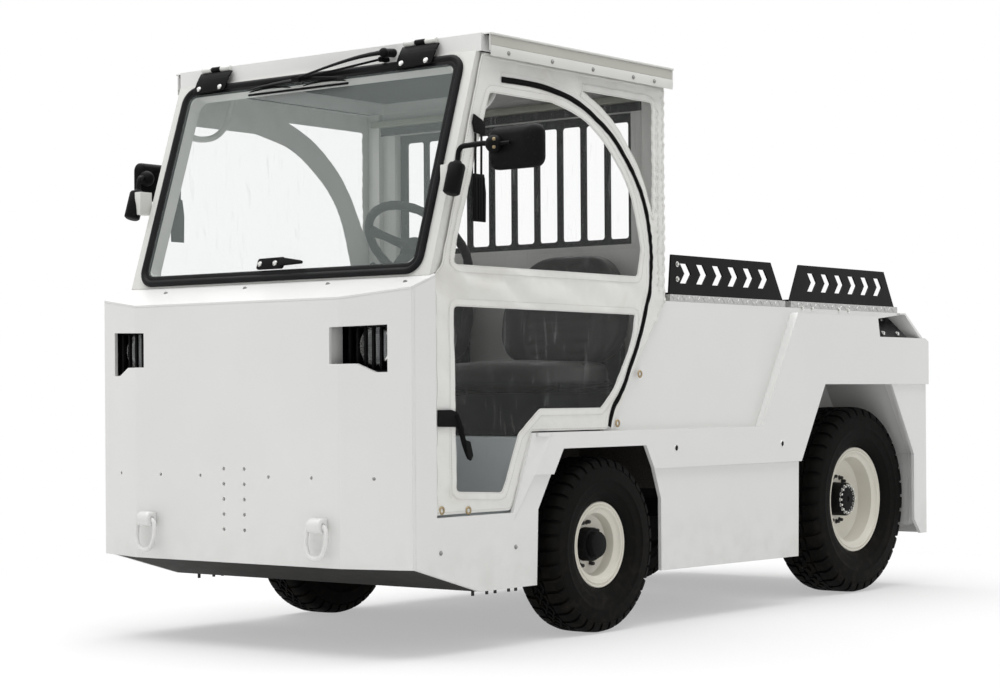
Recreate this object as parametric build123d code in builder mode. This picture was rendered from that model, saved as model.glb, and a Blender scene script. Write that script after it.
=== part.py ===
from build123d import *
import os
from math import atan2, cos, floor, radians, sin

os.makedirs("parts", exist_ok=True)

# An airport baggage tug: a low steel tractor with a soft-door cab at the front and a load deck behind it.
# Millimetres. +X is the vehicle's left, the front faces -Y, +Z is up, and the ground is z = 0.
# Places along the vehicle are told as the distance d behind the flat front plate: y = FRONT + d.

# Overall layout
LENGTH_AHEAD = 46.0          # what stands out ahead of the front plate
BODY_LONG = 3087.0           # from the front plate to the rear plate
HITCH_LONG = 129.0           # what the tow hitch adds behind it
FRONT = -(BODY_LONG + HITCH_LONG - LENGTH_AHEAD) / 2
GAP = 0.3                    # seat between neighbouring pieces

# Width of the body
BODY_HALF = 633.0            # outer face of the wide side band
PANEL_HALF = BODY_HALF - 11  # outer face of the corner plates, skirts and rear aprons
WALL_HALF = BODY_HALF - 33   # outer face of the recessed wall below the deck
CAB_HALF = BODY_HALF - 27    # outer face of the cab posts
LIP_HALF = BODY_HALF + 7     # outer edge of the roof's drip lip
PLATE = 12.0                 # thickness of the side plates
SHEET = 6.0                  # thickness of folded sheet panels

# Heights
FRONT_BOTTOM = 251.0
BELLY = 172.0                # lower edge of the side plates and skirts
SILL = 390.0                 # step in the doorway
BAND_TOP = 620.0
BAND_BOTTOM = 496.0
REAR_BAND_BOTTOM = 763.0
FENDER_TOP = 1011.0
REAR_SHOULDER = 937.0        # lower end of the sloped rear top
DECK = 1052.0
DECK_LIP = 22.0
WALL_TOP = DECK - DECK_LIP - GAP
FRONT_TOP = 1007.0           # top of the flat front plate
COWL_RISE = 24.0 / 66.0      # slope of the cowl above the front plate
ROOF_TOP = 1768.0
ROOF_DEPTH = 52.0

# Front plate
FLAT_HALF = BODY_HALF - 221  # half width of the flat centre, up to the bends
SWEEP = 66.0                 # how far the outer edges are swept back
FRONT_PLATE = 12.0

# Places along the vehicle, behind the front plate
DOOR_FRONT = 178.0
SILL_END = 515.0
SILL_SLOPE_END = 611.0
FRONT_ARCH = (635.0, 700.0, 749.0, 1184.0, 1229.0, 1280.0)
REAR_ARCH = (BODY_LONG - 950, BODY_LONG - 783, BODY_LONG - 287, BODY_LONG - 102)
FRONT_ARCH_TOP = 571.0
CAB_REAR = 1330.0
RECESS_END = (BODY_LONG - 1207, BODY_LONG - 967)
REAR_DECK = (BODY_LONG - 961, BODY_LONG - 186)
LID = (CAB_REAR + 42, REAR_DECK[0] - 38)
HINGE_D = (LID[1] + REAR_DECK[0]) / 2
NOTCH = BODY_LONG - 397      # where the rear corner's sloped recess begins

# Wheels: outer radius, tyre width, rim flange radius, wheel plane, axle height, place
FRONT_TYRE_R = 270.0
FRONT_TYRE_W = 158.0
FRONT_RIM_R = 133.0
FRONT_WHEEL_X = BODY_HALF - 92
FRONT_AXLE_Z = 270.0
FRONT_AXLE = 981.0
REAR_TYRE_R = 340.0
REAR_TYRE_W = 190.0
REAR_RIM_R = 192.0
REAR_WHEEL_X = BODY_HALF - 149
REAR_AXLE_Z = 340.0
REAR_AXLE = BODY_LONG - 431
KINGPIN_X = FRONT_WHEEL_X - 111
RUNNING = 0.05               # radial clearance of a shaft in its hole

# Windscreen: slope of its plane and its opening
SCREEN_FOOT = 165.0
SCREEN_FOOT_Z = 1072.0
SCREEN_LEAN = 18.2           # degrees back from upright
LEAN = radians(SCREEN_LEAN)
SCREEN_HALF = CAB_HALF - 34  # outer half width of the rubber seal
SCREEN_TOP_Z = ROOF_TOP - 58
SCREEN_UP = (SCREEN_TOP_Z - SCREEN_FOOT_Z) / cos(LEAN)      # height of the seal along the slope
ROOF_FRONT = SCREEN_FOOT + SCREEN_UP * sin(LEAN) + 13
ROOF_REAR = CAB_REAR + 42
SCREEN_CORNER = 55.0
SEAL_WIDTH = 34.0


def place(d):
    """y of a place d behind the front plate."""
    return FRONT + d


def up(z):
    """A height in the cab, measured with the roof 716 above the deck, moved with the roof."""
    return DECK + (z - DECK) * (ROOF_TOP - DECK) / 716


def side_outline(points, x):
    """A closed outline of (d, z) points in the upright plane at x."""
    with BuildSketch(Plane.YZ.offset(x)) as sketch:
        with BuildLine():
            Polyline(*[(place(d), z) for d, z in points], close=True)
        make_face()
    return sketch.sketch


def plan_outline(points, z):
    """A closed outline of (x, d) points in the level plane at z."""
    with BuildSketch(Plane.XY.offset(z)) as sketch:
        with BuildLine():
            Polyline(*[(x, place(d)) for x, d in points], close=True)
        make_face()
    return sketch.sketch


def cross_outline(points, d):
    """A closed outline of (x, z) points in the upright plane across the vehicle at d."""
    with BuildSketch(Plane(origin=(0, place(d), 0), x_dir=(1, 0, 0), z_dir=(0, -1, 0))) as sketch:
        with BuildLine():
            Polyline(*points, close=True)
        make_face()
    return sketch.sketch


def block(x, d, z):
    """A private box between the pairs x, d and z."""
    size = (x[1] - x[0], d[1] - d[0], z[1] - z[0])
    centre = ((x[0] + x[1]) / 2, place((d[0] + d[1]) / 2), (z[0] + z[1]) / 2)
    return Pos(*centre) * Box(*size, mode=Mode.PRIVATE)


def bar(start, end, radius):
    """A private round bar between two (x, d, z) points."""
    a = Vector(start[0], place(start[1]), start[2])
    b = Vector(end[0], place(end[1]), end[2])
    plane = Plane(origin=a, z_dir=b - a)
    return plane * Cylinder(radius, (b - a).length, align=(Align.CENTER, Align.CENTER, Align.MIN),
                            mode=Mode.PRIVATE)


COWL_TILT = atan2(COWL_RISE, 1.0)
COWL_PLANE = Plane(
    origin=(0, place(0), FRONT_TOP), x_dir=(1, 0, 0), z_dir=(0, -sin(COWL_TILT), cos(COWL_TILT))
)
SCREEN_PLANE = Plane(
    origin=(0, place(SCREEN_FOOT), SCREEN_FOOT_Z), x_dir=(1, 0, 0), z_dir=(0, -cos(LEAN), sin(LEAN))
)


def cowl_z(d):
    """Height of the cowl's outer face at a place."""
    return FRONT_TOP + COWL_RISE * d


def under_cowl(d):
    """Height of what seats under the cowl at a place."""
    return cowl_z(d) - SHEET / cos(COWL_TILT) - GAP


# Front plate: a flat centre with swept wings, headlamp windows, jacking and towing holes
HITCH_HOLE_R = 5.5
HITCH_PITCH_X = 83.0
HITCH_PITCH_Z = 44.0
HITCH_TOP = 523.0
ROW_HOLE_R = 5.0
ROW_HOLE_Z = 502.0
ROW_HOLES = (138.0, 305.0, 511.0)
LAMP_EDGE = FLAT_HALF - 36   # inner edge of a headlamp window
LAMP_WINDOW = (
    (LAMP_EDGE, 821), (LAMP_EDGE, 923), (LAMP_EDGE + 176, 928), (LAMP_EDGE + 176, 797),
    (LAMP_EDGE + 140, 797), (LAMP_EDGE + 86, 821),
)
WING_PLAN = ((-PANEL_HALF, SWEEP), (-FLAT_HALF, 0), (FLAT_HALF, 0), (PANEL_HALF, SWEEP))
WING_BACK = tuple((x, d + FRONT_PLATE) for x, d in reversed(WING_PLAN))
RING_X = FLAT_HALF - 67
RING_Z = 370.0
RING_SAG = 1.2

with BuildPart() as front_fascia:
    extrude(plan_outline(WING_PLAN + WING_BACK, FRONT_BOTTOM), amount=FRONT_TOP + 60 - FRONT_BOTTOM)
    with BuildSketch(COWL_PLANE.offset(-SHEET - GAP)):
        Rectangle(3 * BODY_HALF, 600)
    extrude(amount=200, mode=Mode.SUBTRACT)
    extrude(cross_outline(LAMP_WINDOW, -10), amount=-150, mode=Mode.SUBTRACT)
    mirrored = tuple((-x, z) for x, z in reversed(LAMP_WINDOW))
    extrude(cross_outline(mirrored, -10), amount=-150, mode=Mode.SUBTRACT)
    with BuildSketch(Plane(origin=(0, place(-10), 0), x_dir=(1, 0, 0), z_dir=(0, -1, 0))):
        with Locations(*[(sign * x, ROW_HOLE_Z) for x in ROW_HOLES for sign in (-1, 1)]):
            Circle(ROW_HOLE_R)
        with Locations((0, HITCH_TOP - 2 * HITCH_PITCH_Z)):
            with GridLocations(HITCH_PITCH_X, HITCH_PITCH_Z, 2, 5):
                Circle(HITCH_HOLE_R)
    extrude(amount=-150, mode=Mode.SUBTRACT)
front_fascia.part.label = "front_fascia"
export_step(front_fascia.part, "parts/front_fascia.step")


# Tie-down rings: a welded sleeve on the front plate with a closed ring hanging through it
SLEEVE_R = 21.0
SLEEVE_LONG = 46.0
RING_BAR = 8.0
RING_WIDE = 92.0
RING_DROP = 96.0
SLEEVE_OUT = 24.0

with BuildPart() as front_rings:
    for side in (-1, 1):
        with BuildSketch(Plane(origin=(side * RING_X - SLEEVE_LONG / 2, place(-SLEEVE_OUT), RING_Z),
                               x_dir=(0, 1, 0), z_dir=(1, 0, 0))):
            Circle(SLEEVE_R)
            with Locations((SLEEVE_OUT / 2 - GAP / 2, 0)):
                Rectangle(SLEEVE_OUT - GAP, 2 * SLEEVE_R)
            Circle(RING_BAR + 1.5, mode=Mode.SUBTRACT)
        extrude(amount=SLEEVE_LONG)
        half = RING_WIDE / 2
        with BuildLine() as loop:
            Polyline(
                (side * RING_X - half, place(-SLEEVE_OUT), RING_Z - RING_SAG),
                (side * RING_X + half, place(-SLEEVE_OUT), RING_Z - RING_SAG),
                (side * RING_X + half * 0.72, place(-SLEEVE_OUT - 14), RING_Z - RING_DROP),
                (side * RING_X - half * 0.72, place(-SLEEVE_OUT - 14), RING_Z - RING_DROP),
                close=True,
            )
            fillet(loop.vertices(), 18)
        start = Plane(origin=loop.line @ 0, z_dir=loop.line % 0)
        with BuildSketch(start):
            Circle(RING_BAR)
        sweep(path=loop.line)
front_rings.part.label = "front_rings"
export_step(front_rings.part, "parts/front_rings.step")


# Cowl: the sloped sheet from the front plate back to the foot of the windscreen
COWL_BACK = 205.0
COWL_PLAN = WING_PLAN + (
    (PANEL_HALF, COWL_BACK - 35), (CAB_HALF - 40, COWL_BACK), (40 - CAB_HALF, COWL_BACK),
    (-PANEL_HALF, COWL_BACK - 35)
)

with BuildPart() as front_cowl:
    extrude(plan_outline(COWL_PLAN, FRONT_TOP - 40), amount=200)
    with BuildSketch(COWL_PLANE):
        Rectangle(3 * BODY_HALF, 900)
    extrude(amount=-SHEET, mode=Mode.INTERSECT)
front_cowl.part.label = "front_cowl"
export_step(front_cowl.part, "parts/front_cowl.step")


# Headlamps: a black box behind each window with a round lamp and upright guard bars
LAMP_X = LAMP_EDGE + 102
LAMP_Z = 872.0
LAMP_R = 52.0

with BuildPart() as headlamps:
    for side in (-1, 1):
        back = FRONT_PLATE + GAP
        outer = LAMP_EDGE + 190
        inner = LAMP_EDGE - 10
        swept = back + (outer + 2 - FLAT_HALF) * SWEEP / (PANEL_HALF - FLAT_HALF)
        housing = ((inner, back), (FLAT_HALF - 2, back), (outer, swept), (outer, 150), (inner, 150))
        extrude(plan_outline(tuple((side * x, d) for x, d in housing), 784), amount=156)
        add(block(sorted((side * (inner + 6), side * (outer - 6))), (0, 144), (790, 934)), mode=Mode.SUBTRACT)
        bowl = Plane(origin=(side * LAMP_X, place(144), LAMP_Z), x_dir=(1, 0, 0), z_dir=(0, -1, 0))
        with BuildSketch(bowl):
            Circle(LAMP_R)
        extrude(amount=48)
        for step in range(4):
            x = side * (LAMP_EDGE + 20 + 44 * step)
            add(block((x - 3, x + 3), (76, 88), (790, 934)))
headlamps.part.label = "headlamps"
export_step(headlamps.part, "parts/headlamps.step")


# Belly: the chin plate that slopes back under the front, and the flat pan behind it
CHIN_END = 360.0

with BuildPart() as belly_pan:
    chin = (
        (SWEEP + FRONT_PLATE, FRONT_BOTTOM), (CHIN_END, BELLY), (FRONT_ARCH[0] - 30, BELLY),
        (FRONT_ARCH[0] - 30, BELLY + SHEET), (CHIN_END + 1, BELLY + SHEET),
        (SWEEP + FRONT_PLATE, FRONT_BOTTOM + SHEET),
    )
    extrude(side_outline(chin, -PANEL_HALF + PLATE + GAP), amount=2 * (PANEL_HALF - PLATE - GAP))
    lip = ((FRONT_PLATE + GAP, FRONT_BOTTOM + 14), (SWEEP + FRONT_PLATE + 1, FRONT_BOTTOM),
           (SWEEP + FRONT_PLATE + 1, FRONT_BOTTOM + SHEET), (FRONT_PLATE + GAP, FRONT_BOTTOM + 14 + SHEET))
    extrude(side_outline(lip, -FLAT_HALF), amount=2 * FLAT_HALF)
belly_pan.part.label = "belly_pan"
export_step(belly_pan.part, "parts/belly_pan.step")


# Side of the body: corner plate, wide band, fender, rear apron and the recessed wall, one plate work
def make_side():
    """The left side's plates as one private solid."""
    corner = (
        (SWEEP + FRONT_PLATE + GAP, FRONT_BOTTOM),
        (SWEEP + FRONT_PLATE + GAP, under_cowl(SWEEP + FRONT_PLATE)),
        (DOOR_FRONT - 8, under_cowl(DOOR_FRONT - 8)), (DOOR_FRONT - 8, SILL), (SILL_END, SILL),
        (SILL_SLOPE_END, BAND_TOP), (700, BAND_TOP), (700, BAND_BOTTOM), (FRONT_ARCH[0], BAND_BOTTOM - 102),
        (FRONT_ARCH[0] - 8, BELLY), (CHIN_END, BELLY),
    )
    band = (
        (FRONT_ARCH[0] + 2, BAND_BOTTOM), (SILL_SLOPE_END + 82, BAND_TOP), (RECESS_END[0], BAND_TOP),
        (RECESS_END[1], FENDER_TOP), (NOTCH, FENDER_TOP), (NOTCH + 16, REAR_SHOULDER),
        (BODY_LONG - 27, REAR_SHOULDER),
        (BODY_LONG, REAR_SHOULDER - 12), (BODY_LONG, REAR_BAND_BOTTOM), (REAR_ARCH[1], REAR_BAND_BOTTOM),
        (REAR_ARCH[0], BAND_BOTTOM), (FRONT_ARCH[4], BAND_BOTTOM), (FRONT_ARCH[3], FRONT_ARCH_TOP),
        (FRONT_ARCH[2], FRONT_ARCH_TOP), (FRONT_ARCH[1], BAND_BOTTOM),
    )
    apron = (
        (REAR_ARCH[2], REAR_BAND_BOTTOM + 20), (REAR_ARCH[3], BAND_BOTTOM + 4), (REAR_ARCH[3], 253),
        (BODY_LONG - 51, 199),
        (BODY_LONG - 4, 199), (BODY_LONG - 4, REAR_BAND_BOTTOM + 20),
    )
    wall = ((1000, BAND_TOP - PLATE), (1000, BAND_TOP + 20), (CAB_REAR + 6, 1020), (CAB_REAR + 6, WALL_TOP),
            (REAR_DECK[1], WALL_TOP), (REAR_DECK[1], WALL_TOP - SHEET - GAP),
            (REAR_DECK[1] + 24, WALL_TOP - SHEET - GAP), (NOTCH, FENDER_TOP - PLATE), (NOTCH, BAND_TOP - PLATE))
    with BuildPart() as side:
        extrude(side_outline(corner, PANEL_HALF - PLATE), amount=PLATE)
        extrude(side_outline(band, BODY_HALF - PLATE), amount=PLATE)
        extrude(side_outline(apron, PANEL_HALF - PLATE), amount=PLATE)
        extrude(side_outline(wall, WALL_HALF - PLATE), amount=PLATE)
        # ledge along the band, slanted return at the fender and the fender's top
        ledge = ((SILL_SLOPE_END + 12, BAND_TOP - PLATE), (SILL_SLOPE_END + 12, BAND_TOP), (RECESS_END[0] + 4, BAND_TOP),
                 (RECESS_END[1] + 4, FENDER_TOP), (NOTCH, FENDER_TOP), (NOTCH, FENDER_TOP - PLATE),
                 (RECESS_END[1] + 12, FENDER_TOP - PLATE), (RECESS_END[0] + 12, BAND_TOP - PLATE))
        extrude(side_outline(ledge, WALL_HALF - PLATE), amount=BODY_HALF - WALL_HALF + PLATE)
        # rear shoulder ledge below the sloped corner
        add(block((WALL_HALF - 90, BODY_HALF), (NOTCH, BODY_LONG - 29), (REAR_SHOULDER - PLATE, REAR_SHOULDER)))
    return side.part


with BuildPart() as body_side_left:
    add(make_side())
body_side_left.part.label = "body_side_left"
export_step(body_side_left.part, "parts/body_side_left.step")

with BuildPart() as body_side_right:
    mirror(body_side_left.part, about=Plane.YZ)
body_side_right.part.label = "body_side_right"
export_step(body_side_right.part, "parts/body_side_right.step")


# Side skirts: removable plates between the wheels, under the band
with BuildPart() as side_skirts:
    skirt = (
        (FRONT_ARCH[5], BELLY), (FRONT_ARCH[5], 400), (FRONT_ARCH[4] + 14, BAND_BOTTOM - GAP),
        (REAR_ARCH[0] - 2, BAND_BOTTOM - GAP), (REAR_ARCH[0] - 8, 166),
    )
    extrude(side_outline(skirt, PANEL_HALF - PLATE), amount=PLATE)
    mirror(about=Plane.YZ)
side_skirts.part.label = "side_skirts"
export_step(side_skirts.part, "parts/side_skirts.step")


# Rear of the body: upright rear plate and the slope that runs up to the deck
REAR_SLOPE_TOP = (REAR_DECK[1] + 32, 1030.0)

with BuildPart() as rear_panel:
    sheet = (
        (BODY_LONG - PLATE, 199), (BODY_LONG, 199), (BODY_LONG, REAR_SHOULDER),
        (REAR_SLOPE_TOP[0] + 14, REAR_SLOPE_TOP[1]),
        (REAR_DECK[1] + GAP, REAR_SLOPE_TOP[1]), (REAR_DECK[1] + GAP, REAR_SLOPE_TOP[1] - SHEET),
        (REAR_SLOPE_TOP[0] + 8, REAR_SLOPE_TOP[1] - SHEET), (BODY_LONG - PLATE, REAR_SHOULDER - 8),
    )
    inner = PANEL_HALF - PLATE - GAP
    extrude(side_outline(sheet, -inner), amount=2 * inner)
rear_panel.part.label = "rear_panel"
export_step(rear_panel.part, "parts/rear_panel.step")


# Main frame: two plate rails with cross members, carrying the axles, body and hitch
RAIL_X = BODY_HALF - 378
RAIL_T = 12.0
RAIL_Z = (228.0, 420.0)
SADDLE_TOP = 440.0           # underside of the rails over the rear axle
RAIL_END = BODY_LONG - PLATE - GAP
KICK_UP = REAR_AXLE - 326    # where the rails rise over the rear axle
OUTRIGGER_D = (CAB_REAR + 20, REAR_ARCH[0] - 27)
CROSS_D = (SILL_END - 95, OUTRIGGER_D[0], sum(OUTRIGGER_D) / 2, OUTRIGGER_D[1], BODY_LONG - 87)

with BuildPart() as main_frame:
    rail = (
        (110, RAIL_Z[0] + 60), (110, SILL - SHEET - GAP), (640, SILL - SHEET - GAP), (820, 520), (1240, 520),
        (1340, RAIL_Z[1]), (KICK_UP - 80, RAIL_Z[1]), (KICK_UP + 90, 600), (RAIL_END, 600), (RAIL_END, 220),
        (BODY_LONG - 107, 220), (BODY_LONG - 227, SADDLE_TOP), (KICK_UP + 120, SADDLE_TOP), (KICK_UP, RAIL_Z[0]),
        (1240, RAIL_Z[0]), (1150, 330), (820, 330), (720, RAIL_Z[0]), (360, RAIL_Z[0]),
    )
    for side in (-1, 1):
        x = side * RAIL_X
        extrude(side_outline(rail, min(x, x + side * RAIL_T)), amount=RAIL_T)
    for d in CROSS_D:
        add(block((-RAIL_X - 2, RAIL_X + 2), (d - 30, d + 30), (290, 380)))
    # outriggers that carry the skirts, floor and rear panel
    for d in OUTRIGGER_D:
        add(block((-PANEL_HALF + PLATE + GAP, PANEL_HALF - PLATE - GAP), (d - 20, d + 20), (340, 400)))
main_frame.part.label = "main_frame"
export_step(main_frame.part, "parts/main_frame.step")


# Wheel wells: folded liners over each wheel, open outwards
with BuildPart() as wheel_wells:
    beside_rail = RAIL_X + RAIL_T + GAP
    front_well = ((650, 430), (650, FRONT_ARCH_TOP + 6), (1322, FRONT_ARCH_TOP + 6), (1322, 430))
    rear_well = ((REAR_ARCH[0] + 33, 300), (REAR_ARCH[0] + 33, 500), (REAR_ARCH[1] + 26, REAR_BAND_BOTTOM + 6),
                 (REAR_ARCH[2] + 20, REAR_BAND_BOTTOM + 6), (REAR_ARCH[3] + 23, 500), (REAR_ARCH[3] + 23, 230))
    for well, inner_x in ((front_well, beside_rail), (rear_well, REAR_WHEEL_X - 154)):
        outer_x = WALL_HALF - PLATE - GAP
        with BuildSketch(Plane.YZ.offset(inner_x)) as section:
            with BuildLine() as path:
                Polyline(*[(place(d), z) for d, z in well])
                offset(amount=4, side=Side.LEFT)
            make_face()
        extrude(section.sketch, amount=outer_x - inner_x)
        with BuildSketch(Plane.YZ.offset(inner_x)) as web:
            with BuildLine():
                Polyline(*[(place(d), z) for d, z in well], close=True)
            make_face()
        extrude(web.sketch, amount=4)
    add(bar((REAR_WHEEL_X - 184, REAR_AXLE, REAR_AXLE_Z), (REAR_WHEEL_X - 84, REAR_AXLE, REAR_AXLE_Z), 75),
        mode=Mode.SUBTRACT)
    mirror(about=Plane.YZ)
wheel_wells.part.label = "wheel_wells"
export_step(wheel_wells.part, "parts/wheel_wells.step")


# Cab floor: footwell tray, riser and the seat platform over the front wheels
FLOOR_T = 6.0
with BuildPart() as cab_floor:
    tray = (
        (FRONT_PLATE + 60, SILL - SHEET), (SILL_END + 30, SILL - SHEET), (SILL_SLOPE_END + 12, BAND_TOP - 22),
        (CAB_REAR - 40, BAND_TOP - 22), (CAB_REAR - 40, BAND_TOP - 16), (SILL_SLOPE_END + 8, BAND_TOP - 16),
        (SILL_END + 26, SILL), (FRONT_PLATE + 60, SILL),
    )
    half = WALL_HALF - PLATE - GAP
    extrude(side_outline(tray, -half), amount=2 * half)
cab_floor.part.label = "cab_floor"
export_step(cab_floor.part, "parts/cab_floor.step")


# Place and lean of the steering wheel
WHEEL_R = 180.0
WHEEL_CENTRE = (BODY_HALF / 2 - 11.5, 470.0, up(1172.0))
WHEEL_TILT = 45.0
tilt = radians(WHEEL_TILT)
STEER_PLANE = Plane(
    origin=(WHEEL_CENTRE[0], place(WHEEL_CENTRE[1]), WHEEL_CENTRE[2]), x_dir=(1, 0, 0), z_dir=(0, cos(tilt), sin(tilt))
)
STUB_R = 9.0
COLUMN_R = 40.0


# Dash: the full-width instrument panel behind the cowl
with BuildPart() as dash:
    face = ((156, 700), (156, under_cowl(156)), (200, under_cowl(200)), (330, 1040), (350, 1000),
            (300, 860), (200, 700))
    half = WALL_HALF - PLATE - GAP - 6
    extrude(side_outline(face, -half), amount=2 * half)
    with BuildSketch(STEER_PLANE.offset(-40)):
        Circle(COLUMN_R + GAP)
    extrude(amount=-400, mode=Mode.SUBTRACT)
dash.part.label = "dash"
export_step(dash.part, "parts/dash.step")


# Steering column and wheel, leaned towards the driver on the left
with BuildPart() as steering_column:
    with BuildSketch(STEER_PLANE.offset(-60)):
        Circle(COLUMN_R)
    extrude(amount=-190)
    with BuildSketch(STEER_PLANE.offset(-62)):
        Circle(STUB_R)
    extrude(amount=58)
steering_column.part.label = "steering_column"
export_step(steering_column.part, "parts/steering_column.step")

GRIP_R = 14.0                # radius of the wheel's round grip
SPOKE_W = 34.0
ACROSS_STEER = Plane(origin=STEER_PLANE.origin, x_dir=(1, 0, 0), z_dir=(0, -sin(tilt), cos(tilt)))
with BuildPart() as steering_wheel:
    with BuildSketch(ACROSS_STEER):
        with Locations((WHEEL_R - GRIP_R, 0)):
            Circle(GRIP_R)
    revolve(axis=Axis(STEER_PLANE.origin, STEER_PLANE.z_dir))
    with BuildSketch(STEER_PLANE.offset(-44)):
        Circle(42)
    extrude(amount=50)
    with BuildSketch(STEER_PLANE.offset(-6)):
        for angle in (90, 210, 330):
            with Locations(Location((0, 0), angle)):
                with Locations((WHEEL_R / 2 - 6, 0)):
                    Rectangle(WHEEL_R - 20, SPOKE_W)
    extrude(amount=12)
    with BuildSketch(STEER_PLANE.offset(-50)):
        Circle(STUB_R + RUNNING)
    extrude(amount=48, mode=Mode.SUBTRACT)
steering_wheel.part.label = "steering_wheel"
export_step(steering_wheel.part, "parts/steering_wheel.step")


# Seats: two plain moulded cushions with backs on boxed bases
SEAT_X = BODY_HALF / 2 + 1.5
SEAT_W = 470.0
with BuildPart() as seats:
    side_form = (
        (780, 760), (790, 830), (1080, 812), (1150, 830), (1225, 1150), (1240, 1176), (1268, 1176), (1280, 1150),
        (1240, 800), (1180, 730), (800, 735),
    )
    base_form = ((830, BAND_TOP - 16 + GAP), (830, 737), (1170, 737), (1170, BAND_TOP - 16 + GAP))
    for side in (-1, 1):
        middle = side * SEAT_X
        extrude(side_outline(side_form, middle - SEAT_W / 2), amount=SEAT_W)
        extrude(side_outline(base_form, middle - SEAT_W / 2 + 40), amount=SEAT_W - 80)
seats.part.label = "seats"
export_step(seats.part, "parts/seats.step")


# Cab front frame: leaned screen surround with boxed pillars
FRAME_DEEP = 42.0
FRAME_BOTTOM = -34.0
FRAME_TOP = SCREEN_UP + 34.0
with BuildPart() as cab_frame:
    with BuildSketch(SCREEN_PLANE):
        with Locations((0, (FRAME_TOP + FRAME_BOTTOM) / 2)):
            Rectangle(2 * CAB_HALF, FRAME_TOP - FRAME_BOTTOM)
        with Locations((0, SCREEN_UP / 2)):
            RectangleRounded(2 * (SCREEN_HALF - SEAL_WIDTH), SCREEN_UP - 2 * SEAL_WIDTH, SCREEN_CORNER - 20,
                             mode=Mode.SUBTRACT)
    extrude(amount=-FRAME_DEEP)
    # keep it above the cowl and below the roof
    with BuildSketch(COWL_PLANE.offset(GAP)):
        Rectangle(3 * BODY_HALF, 1400)
    extrude(amount=-300, mode=Mode.SUBTRACT)
    with BuildSketch(Plane.XY.offset(ROOF_TOP - ROOF_DEPTH - GAP)):
        with Locations((0, FRONT)):
            Rectangle(3 * BODY_HALF, 2 * ROOF_REAR)
    extrude(amount=300, mode=Mode.SUBTRACT)
cab_frame.part.label = "cab_frame"
export_step(cab_frame.part, "parts/cab_frame.step")


# Windscreen seal and the cab's two panes
SEAL_PROUD = 10.0
GLASS_T = 6.0
with BuildPart() as windscreen_seal:
    with BuildSketch(SCREEN_PLANE.offset(GAP)):
        with Locations((0, SCREEN_UP / 2)):
            RectangleRounded(2 * SCREEN_HALF, SCREEN_UP, SCREEN_CORNER)
            RectangleRounded(2 * (SCREEN_HALF - SEAL_WIDTH) + 8, SCREEN_UP - 2 * SEAL_WIDTH + 8, SCREEN_CORNER - 24,
                             mode=Mode.SUBTRACT)
    extrude(amount=SEAL_PROUD)
windscreen_seal.part.label = "windscreen_seal"
export_step(windscreen_seal.part, "parts/windscreen_seal.step")

WINDOW_HALF = CAB_HALF - 106
REAR_WINDOW = ((-WINDOW_HALF, up(1215)), (WINDOW_HALF, up(1215)), (WINDOW_HALF, up(1640)), (-WINDOW_HALF, up(1640)))
with BuildPart() as cab_glass:
    with BuildSketch(SCREEN_PLANE.offset(1)):
        with Locations((0, SCREEN_UP / 2)):
            RectangleRounded(2 * (SCREEN_HALF - SEAL_WIDTH) + 7, SCREEN_UP - 2 * SEAL_WIDTH + 7, SCREEN_CORNER - 24)
    extrude(amount=GLASS_T)
    pane_half = WINDOW_HALF + 20
    add(block((-pane_half, pane_half), (CAB_REAR - 30 - GAP - 5, CAB_REAR - 30 - GAP), (up(1198), up(1657))))
cab_glass.part.label = "cab_glass"
export_step(cab_glass.part, "parts/cab_glass.step")


# Windscreen fittings: two hinges at the top, and the latch plate inside its foot
with BuildPart() as windscreen_fittings:
    for x in (123 - SCREEN_HALF, SCREEN_HALF - 178):
        with BuildSketch(SCREEN_PLANE.offset(SEAL_PROUD + GAP + 0.3)):
            with Locations((x, SCREEN_UP - 4)):
                RectangleRounded(150, 46, 8)
        extrude(amount=6)
        with BuildSketch(Plane(origin=SCREEN_PLANE.from_local_coords((x - 60, SCREEN_UP + 24, SEAL_PROUD + 8)),
                               z_dir=(1, 0, 0))):
            Circle(9)
        extrude(amount=120)
    with BuildSketch(SCREEN_PLANE.offset(GLASS_T + 1.3)):
        with Locations((30, 52)):
            RectangleRounded(190, 34, 10)
    extrude(amount=10)
windscreen_fittings.part.label = "windscreen_fittings"
export_step(windscreen_fittings.part, "parts/windscreen_fittings.step")


# Wiper: pivot on the roof's front edge, parallel arms and a long blade parked along the top
WIPER_PIVOT = (SCREEN_HALF - 287, up(1742.0))
with BuildPart() as wiper:
    root = (WIPER_PIVOT[0], ROOF_FRONT - GAP, WIPER_PIVOT[1])
    nose = (WIPER_PIVOT[0], ROOF_FRONT - 46, WIPER_PIVOT[1])
    elbow = (60.0, ROOF_FRONT - 66, ROOF_TOP - 56)
    tip = (-60.0, ROOF_FRONT - 62, up(1690.0))
    add(bar(root, nose, 15))
    add(bar((nose[0], nose[1] + 8, nose[2]), elbow, 7))
    add(bar(elbow, tip, 6))
    with BuildSketch(SCREEN_PLANE.offset(SEAL_PROUD + 8)):
        with Locations((-60, SCREEN_UP - 44)):
            Rectangle(420, 22)
    extrude(amount=16)
wiper.part.label = "wiper"
export_step(wiper.part, "parts/wiper.step")


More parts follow.
